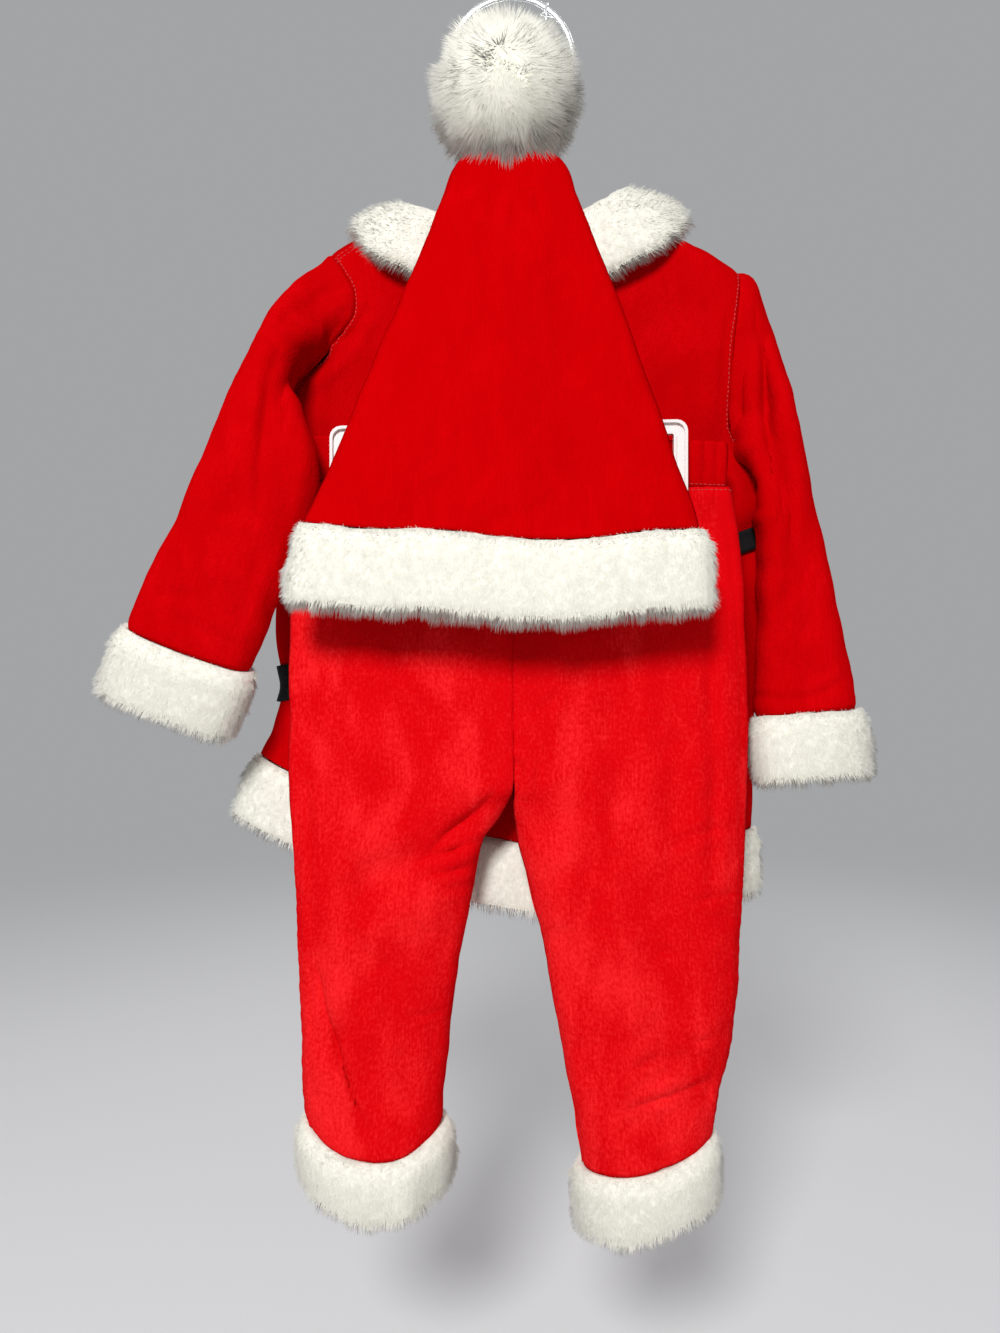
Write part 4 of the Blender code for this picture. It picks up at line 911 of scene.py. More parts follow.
def fur_skin(sections, closed_run, flip):
    """The fur's backing: the trim's sections made fine and drawn in, for the hairs end at the solid.

    It is drawn in by FUR_IN, by more where it faces down, and not at all at its sewn edge and where it lies
    on the cloth, which its upper edge laps over. It returns the backing, its normals, the ways out of and
    down the trim, and how far each point is from the seam, from 0 to 1.
    """
    length = np.linalg.norm(np.diff(sections[:, 0], axis=0), axis=1).sum()
    skin = resample(sections, max(8, int(length / FUR_STEP)), closed_run)
    sewn, foot = skin[:, :1].copy(), skin[:, -1:].copy()
    skin = np.swapaxes(resample(np.swapaxes(skin, 0, 1), FUR_ROUND, True), 0, 1)
    down = unit(foot - sewn) + 0 * skin
    normal = outward(skin, flip, True, closed_run)
    lift = unit(skin.mean(axis=1, keepdims=True) - (sewn + foot) / 2) + 0 * skin
    below = np.clip(np.sum(normal * down, axis=2, keepdims=True), 0, 1)
    free = ease((np.sum(normal * lift, axis=2, keepdims=True) + 2 * below + 0.6) / 0.8)
    from_seam = ease(np.linalg.norm(skin - sewn, axis=2, keepdims=True) / FUR_SETTLES)
    proud = ease((np.sum((skin - sewn) * lift, axis=2, keepdims=True) - 1.6) / 1.6)
    skin = skin - normal * (FUR_IN + FUR_IN_BELOW * below) * free * from_seam
    return skin - down * FUR_LAP * proud * (1 - from_seam), normal, lift, down, from_seam[..., 0]


def skin_faces(rows, columns, closed_run, flip):
    """Faces of a fur backing: quads round it, and flat ends as fans of thin quads if its run isn't closed."""
    quads = grid_quads(rows, columns, True, False, closed_run)
    if not closed_run:
        j = np.arange(columns // 2 - 1)
        cap = np.stack([j, j + 1, columns - 2 - j, columns - 1 - j], axis=1)
        quads = np.concatenate([quads, cap, (cap + (rows - 1) * columns)[:, ::-1]])
    return quads[:, ::-1] if flip else quads


def strands(name, root, way, surface, length, thick, sag, seed):
    """An object of hairs, each a slim pyramid on a triangle: its tip is its length along its way plus a sag.

    Each hair's map is a random number across and its share from root (0) to tip (1) up. Its normals lean to
    those of the backing, as light that spreads through fur makes it look.
    """
    draw = np.random.RandomState(seed)
    count = len(root)
    side = unit(np.cross(way, draw.normal(size=(count, 3))))
    other = np.cross(way, side)
    turn = np.arange(3) * 2 * np.pi / 3
    ring = side[:, None] * np.cos(turn)[None, :, None] + other[:, None] * np.sin(turn)[None, :, None]
    tip = root + way * (HAIR_ALONG * length)[:, None] + sag * (HAIR_SAG * length)[:, None]
    foot = (root - HAIR_SUNK * way)[:, None] + ring * thick[:, None, None]
    points = np.concatenate([foot, tip[:, None]], axis=1)
    one = np.array([[0, 2, 1], [0, 1, 3], [1, 2, 3], [2, 0, 3]])
    faces = (one[None] + 4 * np.arange(count)[:, None, None]).reshape(-1, 3)
    along = np.broadcast_to(np.array([0, 0, 0, 1.0]), (count, 4))
    across = np.broadcast_to(draw.uniform(size=count)[:, None], (count, 4))
    mesh = mesh_of(name, points, faces, np.stack([across, along], axis=-1))
    hair = new_object(name, mesh, FINISH["fur_hair"], "white_fur")
    own = np.concatenate([ring, way[:, None]], axis=1)
    lean = unit(surface[:, None] + HAIR_ROUND * own)
    mesh.normals_split_custom_set_from_vertices(lean.reshape(-1, 3).tolist())
    hair.visible_shadow = False  # light spreads through fur, so a hair throws no shade on the next


def comb(name, skin, normal, lift, down, reach, count, nap, length, seed, closed_run):
    """Hairs over a backing, evenly by its area where it faces out.

    A hair's way is the backing's normal, plus `nap` down the trim, two fields of drift and a random lean, and
    is kept from lying too flat. Its sag is down the trim with the drift of its clump.
    """
    draw = np.random.RandomState(seed)
    columns = skin.shape[1]
    run = np.roll(skin, -1, axis=0) - skin
    if not closed_run:
        run[-1] = 0
    round_ = np.roll(skin, -1, axis=1) - skin
    area = np.linalg.norm(np.cross(run, round_), axis=2)
    below = np.clip(np.sum(normal * down, axis=2), 0, 1)
    facing = np.clip(np.sum(normal * lift, axis=2) * 1.6 + 0.9 + below, 0, 1) * (1 + 0.8 * below)
    weight = (area * facing).ravel()
    pick = draw.choice(weight.size, size=count, p=weight / weight.sum())
    i, j = pick // columns, pick % columns
    spread = draw.uniform(0, 1, size=(count, 2))
    root = skin[i, j] + run[i, j] * spread[:, :1] + round_[i, j] * spread[:, 1:]
    surface = normal[i, j]
    bend, wide = drift(root, HAIR_CLUMP, seed), drift(root, 3.2 * HAIR_CLUMP, seed + 3)
    way = surface + nap * down[i, j] + 0.10 * bend + 0.12 * wide + draw.normal(scale=0.20, size=(count, 3))
    outwards = np.sum(way * surface, axis=1, keepdims=True)
    way = unit(way + surface * np.maximum(0.3 - outwards, 0))
    long_ = length * draw.uniform(*HAIR_LENGTHS, size=count) * (1 + 0.10 * waves(root, 14.0, seed + 9))
    long_ = long_ * (0.4 + 0.45 * reach[i, j] + 0.6 * below[i, j])
    fat = HAIR_THICK * draw.uniform(*HAIR_WIDTHS, size=count)
    sag = unit(0.9 * down[i, j] + 0.4 * bend + np.array([0.0, 0.0, -0.3]))
    strands(name, root, way, surface, long_, fat, sag, seed + 20)


def fur_trim(name, sections, count, flip=False, closed_run=True, length=4.6, nap=0.8, seed=5):
    """A fur trim: hairs on a backing that is made plush by two fields of waves and stands for the solid."""
    skin, normal, lift, down, reach = fur_skin(sections, closed_run, flip)
    plush = 0.45 * waves(skin, 7.0, seed) + 0.55 * waves(skin, 22.0, seed + 3)
    skin = skin + normal * (plush * reach)[..., None]
    mesh = mesh_of(name, skin, skin_faces(*skin.shape[:2], closed_run, flip))
    new_object(name, mesh, FINISH["fur_backing"], "white_fur", name)
    comb(name + "_hair", skin, normal, lift, down, reach, count, nap, length, seed, closed_run)


def fur_ball(centre, core, reach, count, seed):
    """The pompom: a lumpy core, a ball whose radius swells by waves, and hairs on it.

    A hair's way is the ball's normal, plus the way round the ball from POMPOM_PARTING, two fields of drift
    and a random lean. Its sag is downwards with the drift of its clump.
    """

    def swollen(n):
        return n * core * (1 + POMPOM_LUMP * waves(n * core, POMPOM_LUMP_LENGTH, seed))[:, None]

    bm = bmesh.new()
    bmesh.ops.create_uvsphere(bm, u_segments=48, v_segments=28, radius=1.0)
    mesh = bpy.data.meshes.new("pompom")
    bm.to_mesh(mesh)
    bm.free()
    ball = np.zeros(len(mesh.vertices) * 3)
    mesh.vertices.foreach_get("co", ball)
    ball = unit(ball.reshape(-1, 3))
    mesh.vertices.foreach_set("co", ((swollen(ball) + centre) * MM).ravel())
    new_object("pompom", mesh, FINISH["fur_backing"], "white_fur", "pompom")
    draw = np.random.RandomState(seed)
    n = unit(draw.normal(size=(count, 3)))
    root = swollen(n)
    bend, fine_bend = drift(root, 12.0, seed), drift(root, 5.0, seed + 3)
    parted = n - (n @ POMPOM_PARTING)[:, None] * POMPOM_PARTING
    parted = parted / np.maximum(np.linalg.norm(parted, axis=1, keepdims=True), 0.12)
    way = unit(n + 0.85 * parted + 0.20 * bend + 0.10 * fine_bend + draw.normal(scale=0.12, size=(count, 3)))
    length = 1.25 * (reach - core) * draw.uniform(0.80, 1.12, size=count)
    length = length * (1 + 0.07 * waves(root, 16.0, seed + 8))
    sag = 0.45 * bend + np.array([0.0, 0.0, -0.35])
    fat = 0.40 * draw.uniform(*HAIR_WIDTHS, size=count)
    strands("pompom_hair", root + centre, way, n, length, fat, sag, seed + 20)


# --------------------------------------------------------------------------------------------------
# Finishes


class Graph:
    """A short way to write a material's nodes."""

    def __init__(self, name):
        self.material = bpy.data.materials.new(name)
        self.material.use_nodes = True
        self.nodes = self.material.node_tree.nodes
        self.links = self.material.node_tree.links
        self.shader = self.nodes["Principled BSDF"]

    def set(self, **values):
        """Plain values on the shader's own sockets."""
        for key, value in values.items():
            self.shader.inputs[key.replace("_", " ")].default_value = value

    def node(self, kind, inputs=(), **values):
        """A node of that kind, with its properties set and its inputs filled by name or number."""
        made = self.nodes.new(kind)
        for key, value in values.items():
            setattr(made, key, value)
        for key, value in dict(inputs).items():
            if isinstance(value, bpy.types.NodeSocket):
                self.links.new(value, made.inputs[key])
            else:
                made.inputs[key].default_value = value
        return made

    def noise(self, place, scale, detail=2.0, rough=0.5, bend=0.0):
        """A noise value on the places given."""
        inputs = {"Vector": place, "Scale": scale, "Detail": detail, "Roughness": rough, "Distortion": bend}
        return self.node("ShaderNodeTexNoise", inputs).outputs["Fac"]

    def stretch(self, place, x, y, z=1.0):
        """The places scaled along each axis."""
        made = self.node("ShaderNodeMapping", {"Vector": place, "Scale": (x, y, z)})
        return made.outputs["Vector"]

    def ramp(self, value, low, high, to_low=0.0, to_high=1.0):
        """The value taken from low..high to to_low..to_high, softly."""
        inputs = {"Value": value, "From Min": low, "From Max": high, "To Min": to_low, "To Max": to_high}
        return self.node("ShaderNodeMapRange", inputs, interpolation_type="SMOOTHSTEP").outputs["Result"]

    def sum(self, a, b):
        """a + b"""
        return self.node("ShaderNodeMath", {0: a, 1: b}, operation="ADD").outputs[0]

    def times(self, a, b):
        """a times b"""
        return self.node("ShaderNodeMath", {0: a, 1: b}, operation="MULTIPLY").outputs[0]

    def blend(self, share, a, b):
        """Colour a at share 0 and b at share 1."""
        made = self.node("ShaderNodeMix", data_type="RGBA")
        for socket, value in zip((made.inputs[0], made.inputs[6], made.inputs[7]), (share, a, b)):
            if isinstance(value, bpy.types.NodeSocket):
                self.links.new(value, socket)
            else:
                socket.default_value = value
        return made.outputs[2]

    def bump(self, height, strength, distance, under=None):
        """A normal raised by the height, on top of the one under it."""
        inputs = {"Height": height, "Strength": strength, "Distance": distance}
        if under is not None:
            inputs["Normal"] = under
        return self.node("ShaderNodeBump", inputs).outputs["Normal"]

    def give(self, socket, value):
        """A value into one of the shader's sockets."""
        self.links.new(value, self.shader.inputs[socket])


SHADE_UNDER_BAND = (-0.42, -0.30)  # height in metres over which a brushed velour is painted darker upwards: painted shade under the hat's band


def velour(name, deep, lit, sheen, brushed_and_shaded, seed):
    """Knitted velour, between its deep and its lit colour by how the pile lies.

    The share of the lit one is patches and smudges, fewer of them high up on a brushed and shaded one as
    painted shade under the hat's band, plus the flecks and ribs of the knit. A slow noise, the ribs and the
    grain raise the surface, one on the other.
    """
    g = Graph(name)
    place = g.node("ShaderNodeTexCoord").outputs["Object"]
    cut = g.node("ShaderNodeUVMap", uv_map="cut").outputs["UV"]
    start = (0.31 * seed, 0.17 * seed, 0.0)
    moved = g.node("ShaderNodeMapping", {"Vector": place, "Location": start}).outputs[0]
    patch = g.ramp(g.noise(g.stretch(moved, 27.0, 27.0, 12.0), 1.0, 2.0, 0.5, 0.8), 0.38, 0.64)
    smudge = g.ramp(g.noise(g.stretch(moved, 60.0, 60.0, 26.0), 1.0, 4.0, 0.6, 0.8), 0.35, 0.68)
    grain = g.noise(moved, 1400.0, 2.0, 0.6)
    ribs = g.noise(g.stretch(cut, 1100.0, 90.0), 1.0, 2.0, 0.6)
    speckle = g.noise(g.stretch(cut, 700.0, 420.0), 1.0, 3.0, 0.65)
    lie_and_shade = g.sum(g.times(patch, 0.16 + 0.24 * brushed_and_shaded), g.times(smudge, 0.26 - 0.10 * brushed_and_shaded))
    high = g.node("ShaderNodeSeparateXYZ", {"Vector": place}).outputs["Z"]
    # painted shade: the lit share falls off upwards, darker under the hat's band
    lie_and_shade = g.sum(lie_and_shade, g.ramp(high, *SHADE_UNDER_BAND, 0.0, -0.34 * brushed_and_shaded))
    fleck = g.times(g.ramp(speckle, 0.25, 0.75, -0.5, 0.5), 0.2 + 0.36 * brushed_and_shaded)
    share = g.ramp(g.sum(g.sum(lie_and_shade, fleck), g.ramp(ribs, 0.3, 0.7, -0.10, 0.10)), -0.1, 1.1)
    g.give("Base Color", g.blend(share, deep, lit))
    g.give("Roughness", g.ramp(share, 0.0, 1.0, 0.75, 0.95))
    g.set(Sheen_Weight=sheen, Sheen_Roughness=0.3, Sheen_Tint=lit, Specular_IOR_Level=0.0)
    under = g.bump(g.noise(moved, 320.0, 3.0, 0.6), 0.30, 0.0010)
    under = g.bump(ribs, 0.35, 0.0006, under)
    g.give("Normal", g.bump(g.sum(grain, speckle), 0.5, 0.0005, under))
    return g.material


# The root's colour is painted shade: the hairs throw no shadow on each other, so the fur's depth is painted
# darker.
FUR_ROOT_SHADE = (0.60, 0.58, 0.50, 1)
FUR_TIP = (0.86, 0.847, 0.755, 1)
FUR_WARM = (0.77, 0.755, 0.665, 1)


def fur(name, hair):
    """Soft white fur.

    A hair's colour runs from the root's, painted shade for the fur's depth, to the tip's, with a warm share
    of its own and clumps of painted shade nearer to the root's. The backing's is a noise between the two, so
    painted shade too.
    """
    g = Graph(name)
    place = g.node("ShaderNodeTexCoord").outputs["Object"]
    if hair:
        cut = g.node("ShaderNodeUVMap", uv_map="cut").outputs["UV"]
        hair_map = g.node("ShaderNodeSeparateXYZ", {"Vector": cut}).outputs
        colour = g.blend(g.ramp(hair_map["Y"], 0.0, 0.8), FUR_ROOT_SHADE, FUR_TIP)
        own = g.ramp(hair_map["X"], 0.0, 1.0, 0.0, 0.6)
        # painted shade: clumps darkened towards the root's colour
        clump = g.ramp(g.noise(place, 130.0, 2.0), 0.35, 0.65, 0.0, 0.14)
        g.give("Base Color", g.blend(clump, g.blend(own, colour, FUR_WARM), FUR_ROOT_SHADE))
    else:
        # painted shade: the backing, deep among the hairs, is dappled between the root's shade and the tip's
        # colour
        shade_dapple = g.ramp(g.noise(place, 260.0, 3.0), 0.3, 0.7, 0.3, 0.9)
        g.give("Base Color", g.blend(shade_dapple, FUR_ROOT_SHADE, FUR_TIP))
        g.give("Normal", g.bump(g.noise(place, 700.0, 3.0), 0.15, 0.0006))
    g.set(Roughness=0.75, Sheen_Weight=0.25, Sheen_Roughness=0.5, Specular_IOR_Level=0.3)
    return g.material


def woven(name):
    """A plain woven black band: waves along it times waves across it, and fuzz."""
    g = Graph(name)
    cut = g.node("ShaderNodeUVMap", uv_map="cut").outputs["UV"]
    threads = {"Vector": cut, "Scale": 260.0, "Distortion": 0.3}
    warp = g.node("ShaderNodeTexWave", threads, bands_direction="X")
    weft = g.node("ShaderNodeTexWave", threads, bands_direction="Y")
    cross = g.times(warp.outputs["Fac"], weft.outputs["Fac"])
    fuzz = g.noise(g.stretch(cut, 900.0, 300.0), 1.0, 3.0)
    share = g.sum(g.times(cross, 0.5), g.times(fuzz, 0.4))
    g.give("Base Color", g.blend(share, (0.003, 0.003, 0.004, 1), (0.016, 0.015, 0.016, 1)))
    g.give("Normal", g.bump(cross, 0.6, 0.0005))
    g.set(Roughness=0.7, Specular_IOR_Level=0.15)
    return g.material


def plastic(name, colour, clear, rough, wear):
    """Moulded plastic: milky or clear, with faint flow marks and handling scratches."""
    g = Graph(name)
    place = g.node("ShaderNodeTexCoord").outputs["Object"]
    flow = g.noise(g.stretch(place, 30.0, 30.0, 8.0), 1.0, 3.0, 0.5, 0.6)
    dust = g.noise(place, 400.0, 3.0, 0.7)
    scratch = g.noise(g.stretch(place, 900.0, 900.0, 60.0), 1.0, 2.0, 0.7)
    tone = tuple(0.93 * c for c in colour[:3]) + (1.0,)
    g.give("Base Color", g.blend(g.sum(flow, g.ramp(dust, 0.5, 0.8, 0.0, 0.4)), colour, tone))
    g.give("Roughness", g.ramp(scratch, 0.35, 0.75, rough, rough + wear))
    g.give("Normal", g.bump(flow, 0.12, 0.0008, g.bump(dust, 0.08, 0.0002)))
    g.set(Transmission_Weight=clear, IOR=1.49, Specular_IOR_Level=0.5, Coat_Weight=0.15)
    return g.material


def thread(name):
    """Red sewing thread, twisted, with a slight shine."""
    g = Graph(name)
    place = g.node("ShaderNodeTexCoord").outputs["Object"]
    twist = g.noise(place, 2500.0, 1.0)
    g.give("Base Color", g.blend(g.ramp(twist, 0.35, 0.65), (0.30, 0.002, 0.003, 1), (0.60, 0.030, 0.028, 1)))
    g.set(Roughness=0.5, Sheen_Weight=0.3)
    return g.material


VELOURS = [
    # name, deep colour, lit colour, sheen, brushed and shaded (pile, and painted shade towards the top), seed
    ("velour_coat", (0.46, 0.0003, 0.0014, 1), (0.68, 0.0014, 0.0042, 1), 0.12, 0.1, 1),
    ("velour_hat", (0.45, 0.0001, 0.0010, 1), (0.58, 0.0005, 0.0020, 1), 0.08, 0.0, 2),
    # the trousers' velour, painted darker towards its top as shade under the hat's band
    ("velour_nap_and_shade", (0.61, 0.0014, 0.0036, 1), (0.89, 0.021, 0.024, 1), 0.14, 1.0, 3),
]
PLASTICS = [
    # name, colour, how clear, roughness and how much wear adds to it
    ("clear_plastic", (0.92, 0.94, 0.94, 1), 0.75, 0.12, 0.15),
    ("milky_plastic", (0.86, 0.79, 0.77, 1), 0.0, 0.22, 0.2),
]
MADE = [
    *(velour(*row) for row in VELOURS),
    fur("fur_backing", False),
    fur("fur_hair", True),
    woven("belt_weave"),
    *(plastic(*row) for row in PLASTICS),
    thread("sewing_thread"),
]
FINISH = {material.name: material for material in MADE}


# --------------------------------------------------------------------------------------------------
# Sewing


def sewing(name, lines):
    """Rows of stitches along lines of (points, normals) in mm.

    Each is a tube that follows its line for STITCH_SHARE of the pitch, bowed up along the normals, whose ends
    dip into the cloth.
    """
    all_points, all_faces, start = [], [], 0
    sides, rings = STITCH_SIDES, len(STITCH_ALONG)
    turn = np.arange(sides) * 2 * np.pi / sides
    girth = np.array(STITCH_GIRTH) * STITCH_THICK
    one = grid_quads(rings, sides, True)[:, [0, 3, 2, 1]]
    for line, normal in lines:
        gap = np.linalg.norm(np.diff(line, axis=0), axis=1)
        run = np.concatenate([[0.0], np.cumsum(gap)])
        count = max(2, int(run[-1] / STITCH_PITCH))
        middle = (np.arange(count) + 0.5) * run[-1] / count
        at = middle[:, None] + (np.array(STITCH_ALONG) * STITCH_SHARE * STITCH_PITCH)[None, :]
        centre = np.stack([np.interp(at, run, line[:, k]) for k in range(3)], axis=-1)
        up = unit(np.stack([np.interp(at, run, normal[:, k]) for k in range(3)], axis=-1))
        centre = centre + up * (np.array(STITCH_HIGH) * STITCH_PROUD)[None, :, None]
        side = unit(np.cross(unit(np.gradient(centre, axis=1)), up))
        ring = side[:, :, None] * np.cos(turn)[:, None] + up[:, :, None] * np.sin(turn)[:, None]
        points = centre[:, :, None] + ring * girth[:, None, None]
        faces = (one[None] + rings * sides * np.arange(count)[:, None, None]).reshape(-1, 4)
        all_points.append(points.reshape(-1, 3))
        all_faces.append(faces + start)
        start += count * rings * sides
    mesh = mesh_of(name, np.concatenate(all_points), np.concatenate(all_faces))
    ends = bmesh.new()
    ends.from_mesh(mesh)
    bmesh.ops.holes_fill(ends, edges=ends.edges[:], sides=sides)
    bmesh.ops.recalc_face_normals(ends, faces=ends.faces[:])
    ends.to_mesh(mesh)
    ends.free()
    new_object(name, mesh, FINISH["sewing_thread"], "red_velour")


def line_on(face, normal, edge, inside, start=0.0, stop=1.0):
    """A line on a panel's outer face, `inside` mm from one of its edges, between two shares of its length.

    In each row it is found on the straight line between the two points of the grid on either side of it.
    """
    d = edge_distance(face, edge)
    if edge in ("top", "foot"):
        d, face, normal = d.T, np.swapaxes(face, 0, 1), np.swapaxes(normal, 0, 1)
    rows = np.arange(len(face))
    order = d if edge in ("first", "top") else d[:, ::-1]
    col = np.array([np.searchsorted(row, inside) for row in order])
    col = np.clip(col, 1, d.shape[1] - 1)
    f = (inside - order[rows, col - 1]) / np.maximum(order[rows, col] - order[rows, col - 1], 1e-6)
    if edge in ("last", "foot"):
        a, b = d.shape[1] - col, d.shape[1] - 1 - col
    else:
        a, b = col - 1, col
    f = np.clip(f, 0, 1)[:, None]
    line = face[rows, a] * (1 - f) + face[rows, b] * f
    up = unit(normal[rows, a] * (1 - f) + normal[rows, b] * f)
    keep = slice(int(start * len(rows)), max(int(stop * len(rows)), 2))
    return line[keep], up[keep]


# --------------------------------------------------------------------------------------------------
# The garments


def side_out(points):
    """The coat's right side moved out by SIDE_OUT times three soft steps: across, at the top, at the foot."""
    x, z = points[..., 0], points[..., 2]
    moved = points.copy()
    share = between(x, *SIDE_OUT_ACROSS) * between(z, *SIDE_OUT_TOP) * between(z, *SIDE_OUT_FOOT)
    moved[..., 0] += SIDE_OUT * share
    return moved


def dress_coat():
    """Back, fronts, sleeves, cuffs, hem, collar and belt."""
    red = FINISH["velour_coat"]
    rows = np.array(COAT_ROWS, float)[:, None]
    half = seam_to_seam(10, -90, 0)[None, :]
    left, right = coat(half, rows, "front"), side_out(coat(-half[:, ::-1], rows, "front"))
    left[:, -1, 0] -= SEAM / 2
    right[:, 0, 0] += SEAM / 2
    back = side_out(coat(seam_to_seam(21)[None, :], rows, "back"))
    back, up = panel("coat_back", back, red, 2.9, bows=BOWS["coat_back"], seams=("first", "last"), seed=11)
    panel("coat_front_left", left, red, 3.8, flip=True, bows=BOWS["coat_front"], seams=("first",), seed=12)
    panel("coat_front_right", right, red, 3.8, flip=True, bows=BOWS["coat_front"], seams=("last",), seed=13)
    sleeve_and_cuff("left", 14)
    sleeve_and_cuff("right", 15)

    ring = coat_ring(np.array(HEM_ROWS, float))
    out = outward(ring, False, closed=True)[1]
    way = unit(ring[1] - ring[0])
    order = np.roll(np.arange(ring.shape[1]), -HEM_STARTS)
    order = np.append(order, order[0])
    loop, out, way = ring[1][order], out[order], way[order]
    loop[0, 0] -= SEAM / 2
    loop[-1, 0] += SEAM / 2
    sections = fur_sections(loop, out, way, HEM_HEIGHT)
    fur_trim("coat_hem_fur", sections, HAIR_COUNT["coat_hem"], True, False, seed=41)
    sections = collar_sections()
    fur_trim("coat_collar", sections, HAIR_COUNT["coat_collar"], True, False, length=5.0, nap=0.75, seed=42)

    ring = side_out(coat_ring(np.array(BELT_ROWS, float)))
    ring = ring + (CLOTH + BELT_OFF) * outward(ring, False, closed=True)
    panel("belt", ring, FINISH["belt_weave"], 2.8, True, wall=BELT_WALL, hills=0.1, held="gathered",
          rests_on=("coat_back",), slot_name="black_belt", seed=16)
    sewing("coat_sewing", [line_on(back, up, *line) for line in COAT_STITCHES])


def sleeve_and_cuff(side, seed):
    """A sleeve, whose first ring is the armhole's own edge with a lap under the arm, and its fur cuff."""
    down = np.arccos(1 - 2 * np.array([r for r in COAT_ROWS if r <= ARMHOLE_END]) / ARMHOLE_END)
    angles = np.concatenate([down, 2 * np.pi - down[-2:0:-1]])
    edge = armhole_edge(side, angles)
    edge[:, 0] += SEAM * SIDE_SIGN[side]
    edge[len(down) - 1] += np.array([UNDERARM_OUT * SIDE_SIGN[side], 0.0, -UNDERARM_LAP])
    tube = np.concatenate([edge[None], sleeve(side, np.linspace(0, 1, SLEEVE_STEPS[side]), angles)])
    panel("coat_sleeve_" + side, tube, FINISH["velour_coat"], 2.4, True, side == "right",
          bows=BOWS["sleeve_" + side], seams=("top", "foot"), seed=seed)
    out, way = cuff_frame(tube[-1], tube[-2])
    sections = fur_sections(tube[-1], out, way, CUFF_HEIGHT[side])
    fur_trim("coat_cuff_" + side, sections, HAIR_COUNT["coat_cuff"], side == "left", seed=seed + 20)


def collar_sections():
    """The collar's sections, one from each step along its table: COLLAR_SECTION across its width and out."""
    table = np.array(COLLAR, float)
    placed = np.concatenate([np.arange(len(table))[:, None], table], axis=1)
    c = read(placed, COLLAR_COLUMNS, np.linspace(0, len(table) - 1, COLLAR_STEPS))
    neck = np.stack([c["x_neck"], c["y_neck"], c["z_neck"]], axis=-1)
    width = np.stack([c["x_free"], c["y_free"], c["z_free"]], axis=-1) - neck
    out = unit(np.cross(width, np.gradient(neck + width / 2, axis=0)))
    return np.stack([neck + width * w + out * (h * c["thick"][:, None]) for w, h in COLLAR_SECTION], axis=1)


def dress_trousers():
    """Four leg panels, the elastic casing and the fur cuffs."""
    across = (1 - np.cos(np.linspace(0, np.pi, 10))) / 2
    lines = []
    for side, seed in (("left", 21), ("right", 22)):
        back, front = (trousers(side, face, TROUSER_ROWS, across) for face in ("back", "front"))
        leg = {"finish": FINISH["velour_nap_and_shade"], "hills": 0.45, "rests_on": CLIPS}
        outer, up = panel("trousers_back_" + side, back, step=2.1, flip=side == "left", seed=seed,
                          bows=BOWS["trousers_back_" + side], seams=("first", "last", "top", "foot"),
                          gather=(7.5, 1.8, 16.0), ribs=LEG_RIBS, **leg)
        panel("trousers_front_" + side, front, step=3.6, flip=side == "right", seed=seed + 2,
              bows=BOWS["trousers_front"], seams=("first", "last", "top"), gather=(7.5, 1.2, 16.0), **leg)
        ring = np.concatenate([back, front[:, ::-1][:, 1:-1]], axis=1)
        out, way = cuff_frame(ring[-1], ring[-2])
        sections = fur_sections(ring[-1], out, way, LEG_CUFF_HEIGHT[side], THICK_FUR)
        count = HAIR_COUNT["trousers_cuff"]
        fur_trim("trousers_cuff_" + side, sections, count, side == "right", seed=seed + 25)
        lines.append(line_on(outer, up, "top", 1.8))
    grid = waist([0, 0.5, 1], np.linspace(0, 2 * np.pi, WAIST_POINTS, endpoint=False))
    outer, up = panel("trousers_waist", grid, FINISH["velour_coat"], 1.5, True, True, seed=25, hills=0.25,
                      seams=("foot",), gather=(6.5, 2.2, 60.0), rests_on=CLIPS, held="gathered")
    lines.append((outer[-2], up[-2]))
    sewing("trousers_sewing", lines)


def dress_hat():
    """Two cone panels, the fur band and the pompom."""
    across = seam_to_seam(13)
    cone = {"finish": FINISH["velour_hat"], "seams": ("first", "last"), "hills": 0.4, "rests_on": ["tag_pin"]}
    back, front = (hat(face, HAT_ROWS, across) for face in ("back", "front"))
    panel("hat_back", back, step=2.1, bows=BOWS["hat_back"], seed=31, **cone)
    panel("hat_front", front, step=3.4, flip=True, bows=BOWS["hat_front"], seed=32, **cone)
    across = seam_to_seam(19)
    low = np.array([HAT_BAND_FROM, HAT_ROWS[-1]])
    ring = np.concatenate([hat("back", low, across), hat("front", low, across[::-1])[:, 1:-1]], axis=1)
    out, way = cuff_frame(ring[1], ring[0])
    sections = fur_sections(ring[1], out, way, HAT_BAND_HEIGHT, THICK_FUR)
    fur_trim("hat_band", sections, HAIR_COUNT["hat_band"], True, seed=51)
    fur_ball(np.array(POMPOM_CENTRE), POMPOM_CORE, POMPOM_REACH, HAIR_COUNT["pompom"], 61)


MOUNT = {
    "clear_plastic": ("hanger_hook", "hanger_arms", "frame_stem", "tag_pin"),
    "milky_plastic": ("bottom_frame", *CLIPS),
}


def dress_mount():
    """The hanger, the frame, the clips and the pin keep their solids and take their plastics."""
    for finish, names in MOUNT.items():
        for name in names:
            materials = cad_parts[name].data.materials
            materials.clear()
            materials.append(FINISH[finish])


# --------------------------------------------------------------------------------------------------
# Floor, light and camera


FLOOR, FLOOR_REACH = -830.0, 60000.0
FLOOR_FADES = (0.5, 2.4)  # distance in metres over which the floor's paint fades into the room
ROOM_LIGHT, ROOM_STRENGTH = (0.97, 0.98, 1.0, 1), 0.38
CAMERA_AWAY, VIEW_HEIGHT, CAMERA_X, CAMERA_Z = 620.0, 773.14, -6.96, -386.57
LIGHTS = [
    # name, place, aim, power, size
    ("key", (-0.38, -1.85, 0.72), (0.0, -0.05, -0.38), 45.5, 0.55),
    ("behind", (0.3, 1.6, 0.8), (0.0, 0.0, -0.38), 10.0, 1.0),
]


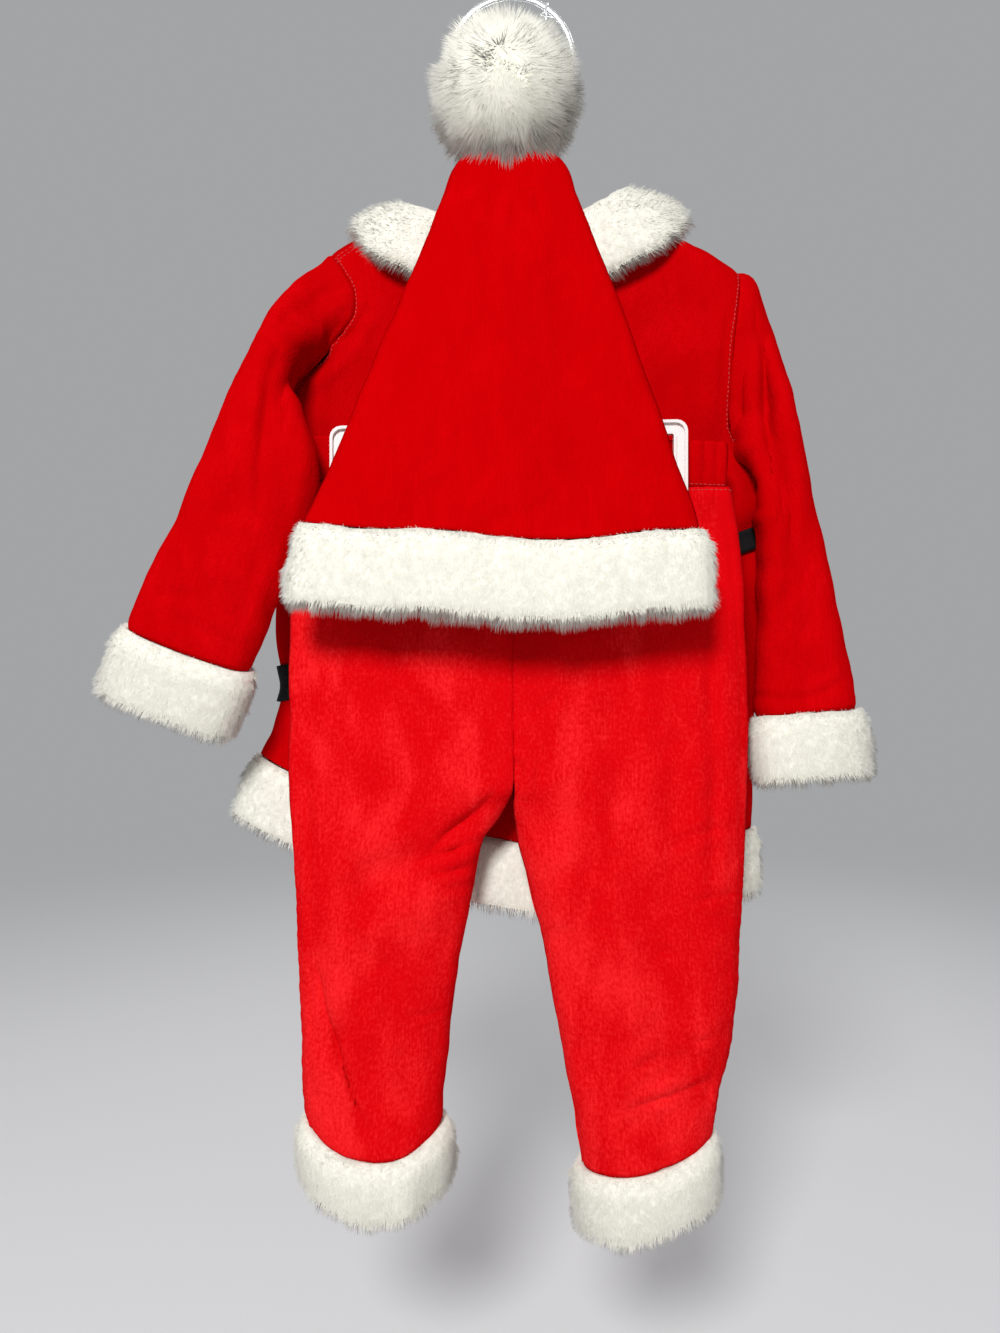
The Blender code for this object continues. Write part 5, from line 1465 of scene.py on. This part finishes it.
def studio():
    """A pale floor that fades into the pale room, one strong soft lamp in front and a weaker one behind.

    The floor is a disc of rings whose radii grow by one ratio.
    """
    away = np.concatenate([[0.0], np.geomspace(200.0, FLOOR_REACH, 40)])[:, None]
    turn = np.linspace(0, 2 * np.pi, 64, endpoint=False)[None, :]
    disc = np.stack([away * np.cos(turn), away * np.sin(turn), FLOOR + 0 * away * turn], axis=-1)
    g = Graph("floor_paint")
    place = g.node("ShaderNodeTexCoord").outputs["Object"]
    level = g.stretch(place, 1.0, 1.0, 0.0)
    out = g.node("ShaderNodeVectorMath", {0: level}, operation="LENGTH").outputs["Value"]
    fade = g.ramp(out, *FLOOR_FADES)
    paint = g.blend(g.noise(place, 3.0), (0.70, 0.70, 0.71, 1), (0.72, 0.72, 0.73, 1))
    g.give("Base Color", g.blend(fade, paint, (0, 0, 0, 1)))
    g.give("Emission Color", g.blend(fade, (0, 0, 0, 1), ROOM_LIGHT))
    g.set(Roughness=1.0, Specular_IOR_Level=0.0, Emission_Strength=ROOM_STRENGTH)
    floor = bpy.data.objects.new("floor", mesh_of("floor", disc, grid_quads(*disc.shape[:2], True, False)))
    floor.data.materials.append(g.material)
    bpy.context.scene.collection.objects.link(floor)
    for name, place, aim, power, size in LIGHTS:
        lamp = bpy.data.lights.new(name, "AREA")
        lamp.energy, lamp.shape, lamp.size = power, "DISK", size
        obj = bpy.data.objects.new(name, lamp)
        bpy.context.scene.collection.objects.link(obj)
        obj.location = place
        way = Vector(aim) - Vector(place)
        obj.rotation_euler = way.to_track_quat("-Z", "Y").to_euler()
    world = bpy.data.worlds.new("pale_room")
    bpy.context.scene.world = world
    world.use_nodes = True
    world.node_tree.nodes["Background"].inputs["Color"].default_value = ROOM_LIGHT
    world.node_tree.nodes["Background"].inputs["Strength"].default_value = ROOM_STRENGTH


def camera():
    """A camera level with the middle of the suit, CAMERA_AWAY from its hook, that sees VIEW_HEIGHT there."""
    cam = bpy.data.cameras.new("camera")
    cam.sensor_width = 36.0
    cam.lens = cam.sensor_width * CAMERA_AWAY / VIEW_HEIGHT
    cam.clip_start = 0.02
    obj = bpy.data.objects.new("camera", cam)
    bpy.context.scene.collection.objects.link(obj)
    obj.location = (CAMERA_X * MM, -CAMERA_AWAY * MM, CAMERA_Z * MM)
    obj.rotation_euler = (np.pi / 2, 0.0, 0.0)
    bpy.context.scene.camera = obj
    bpy.context.scene.view_settings.view_transform = "Standard"


dress_coat()
dress_trousers()
dress_hat()
dress_mount()
studio()
camera()
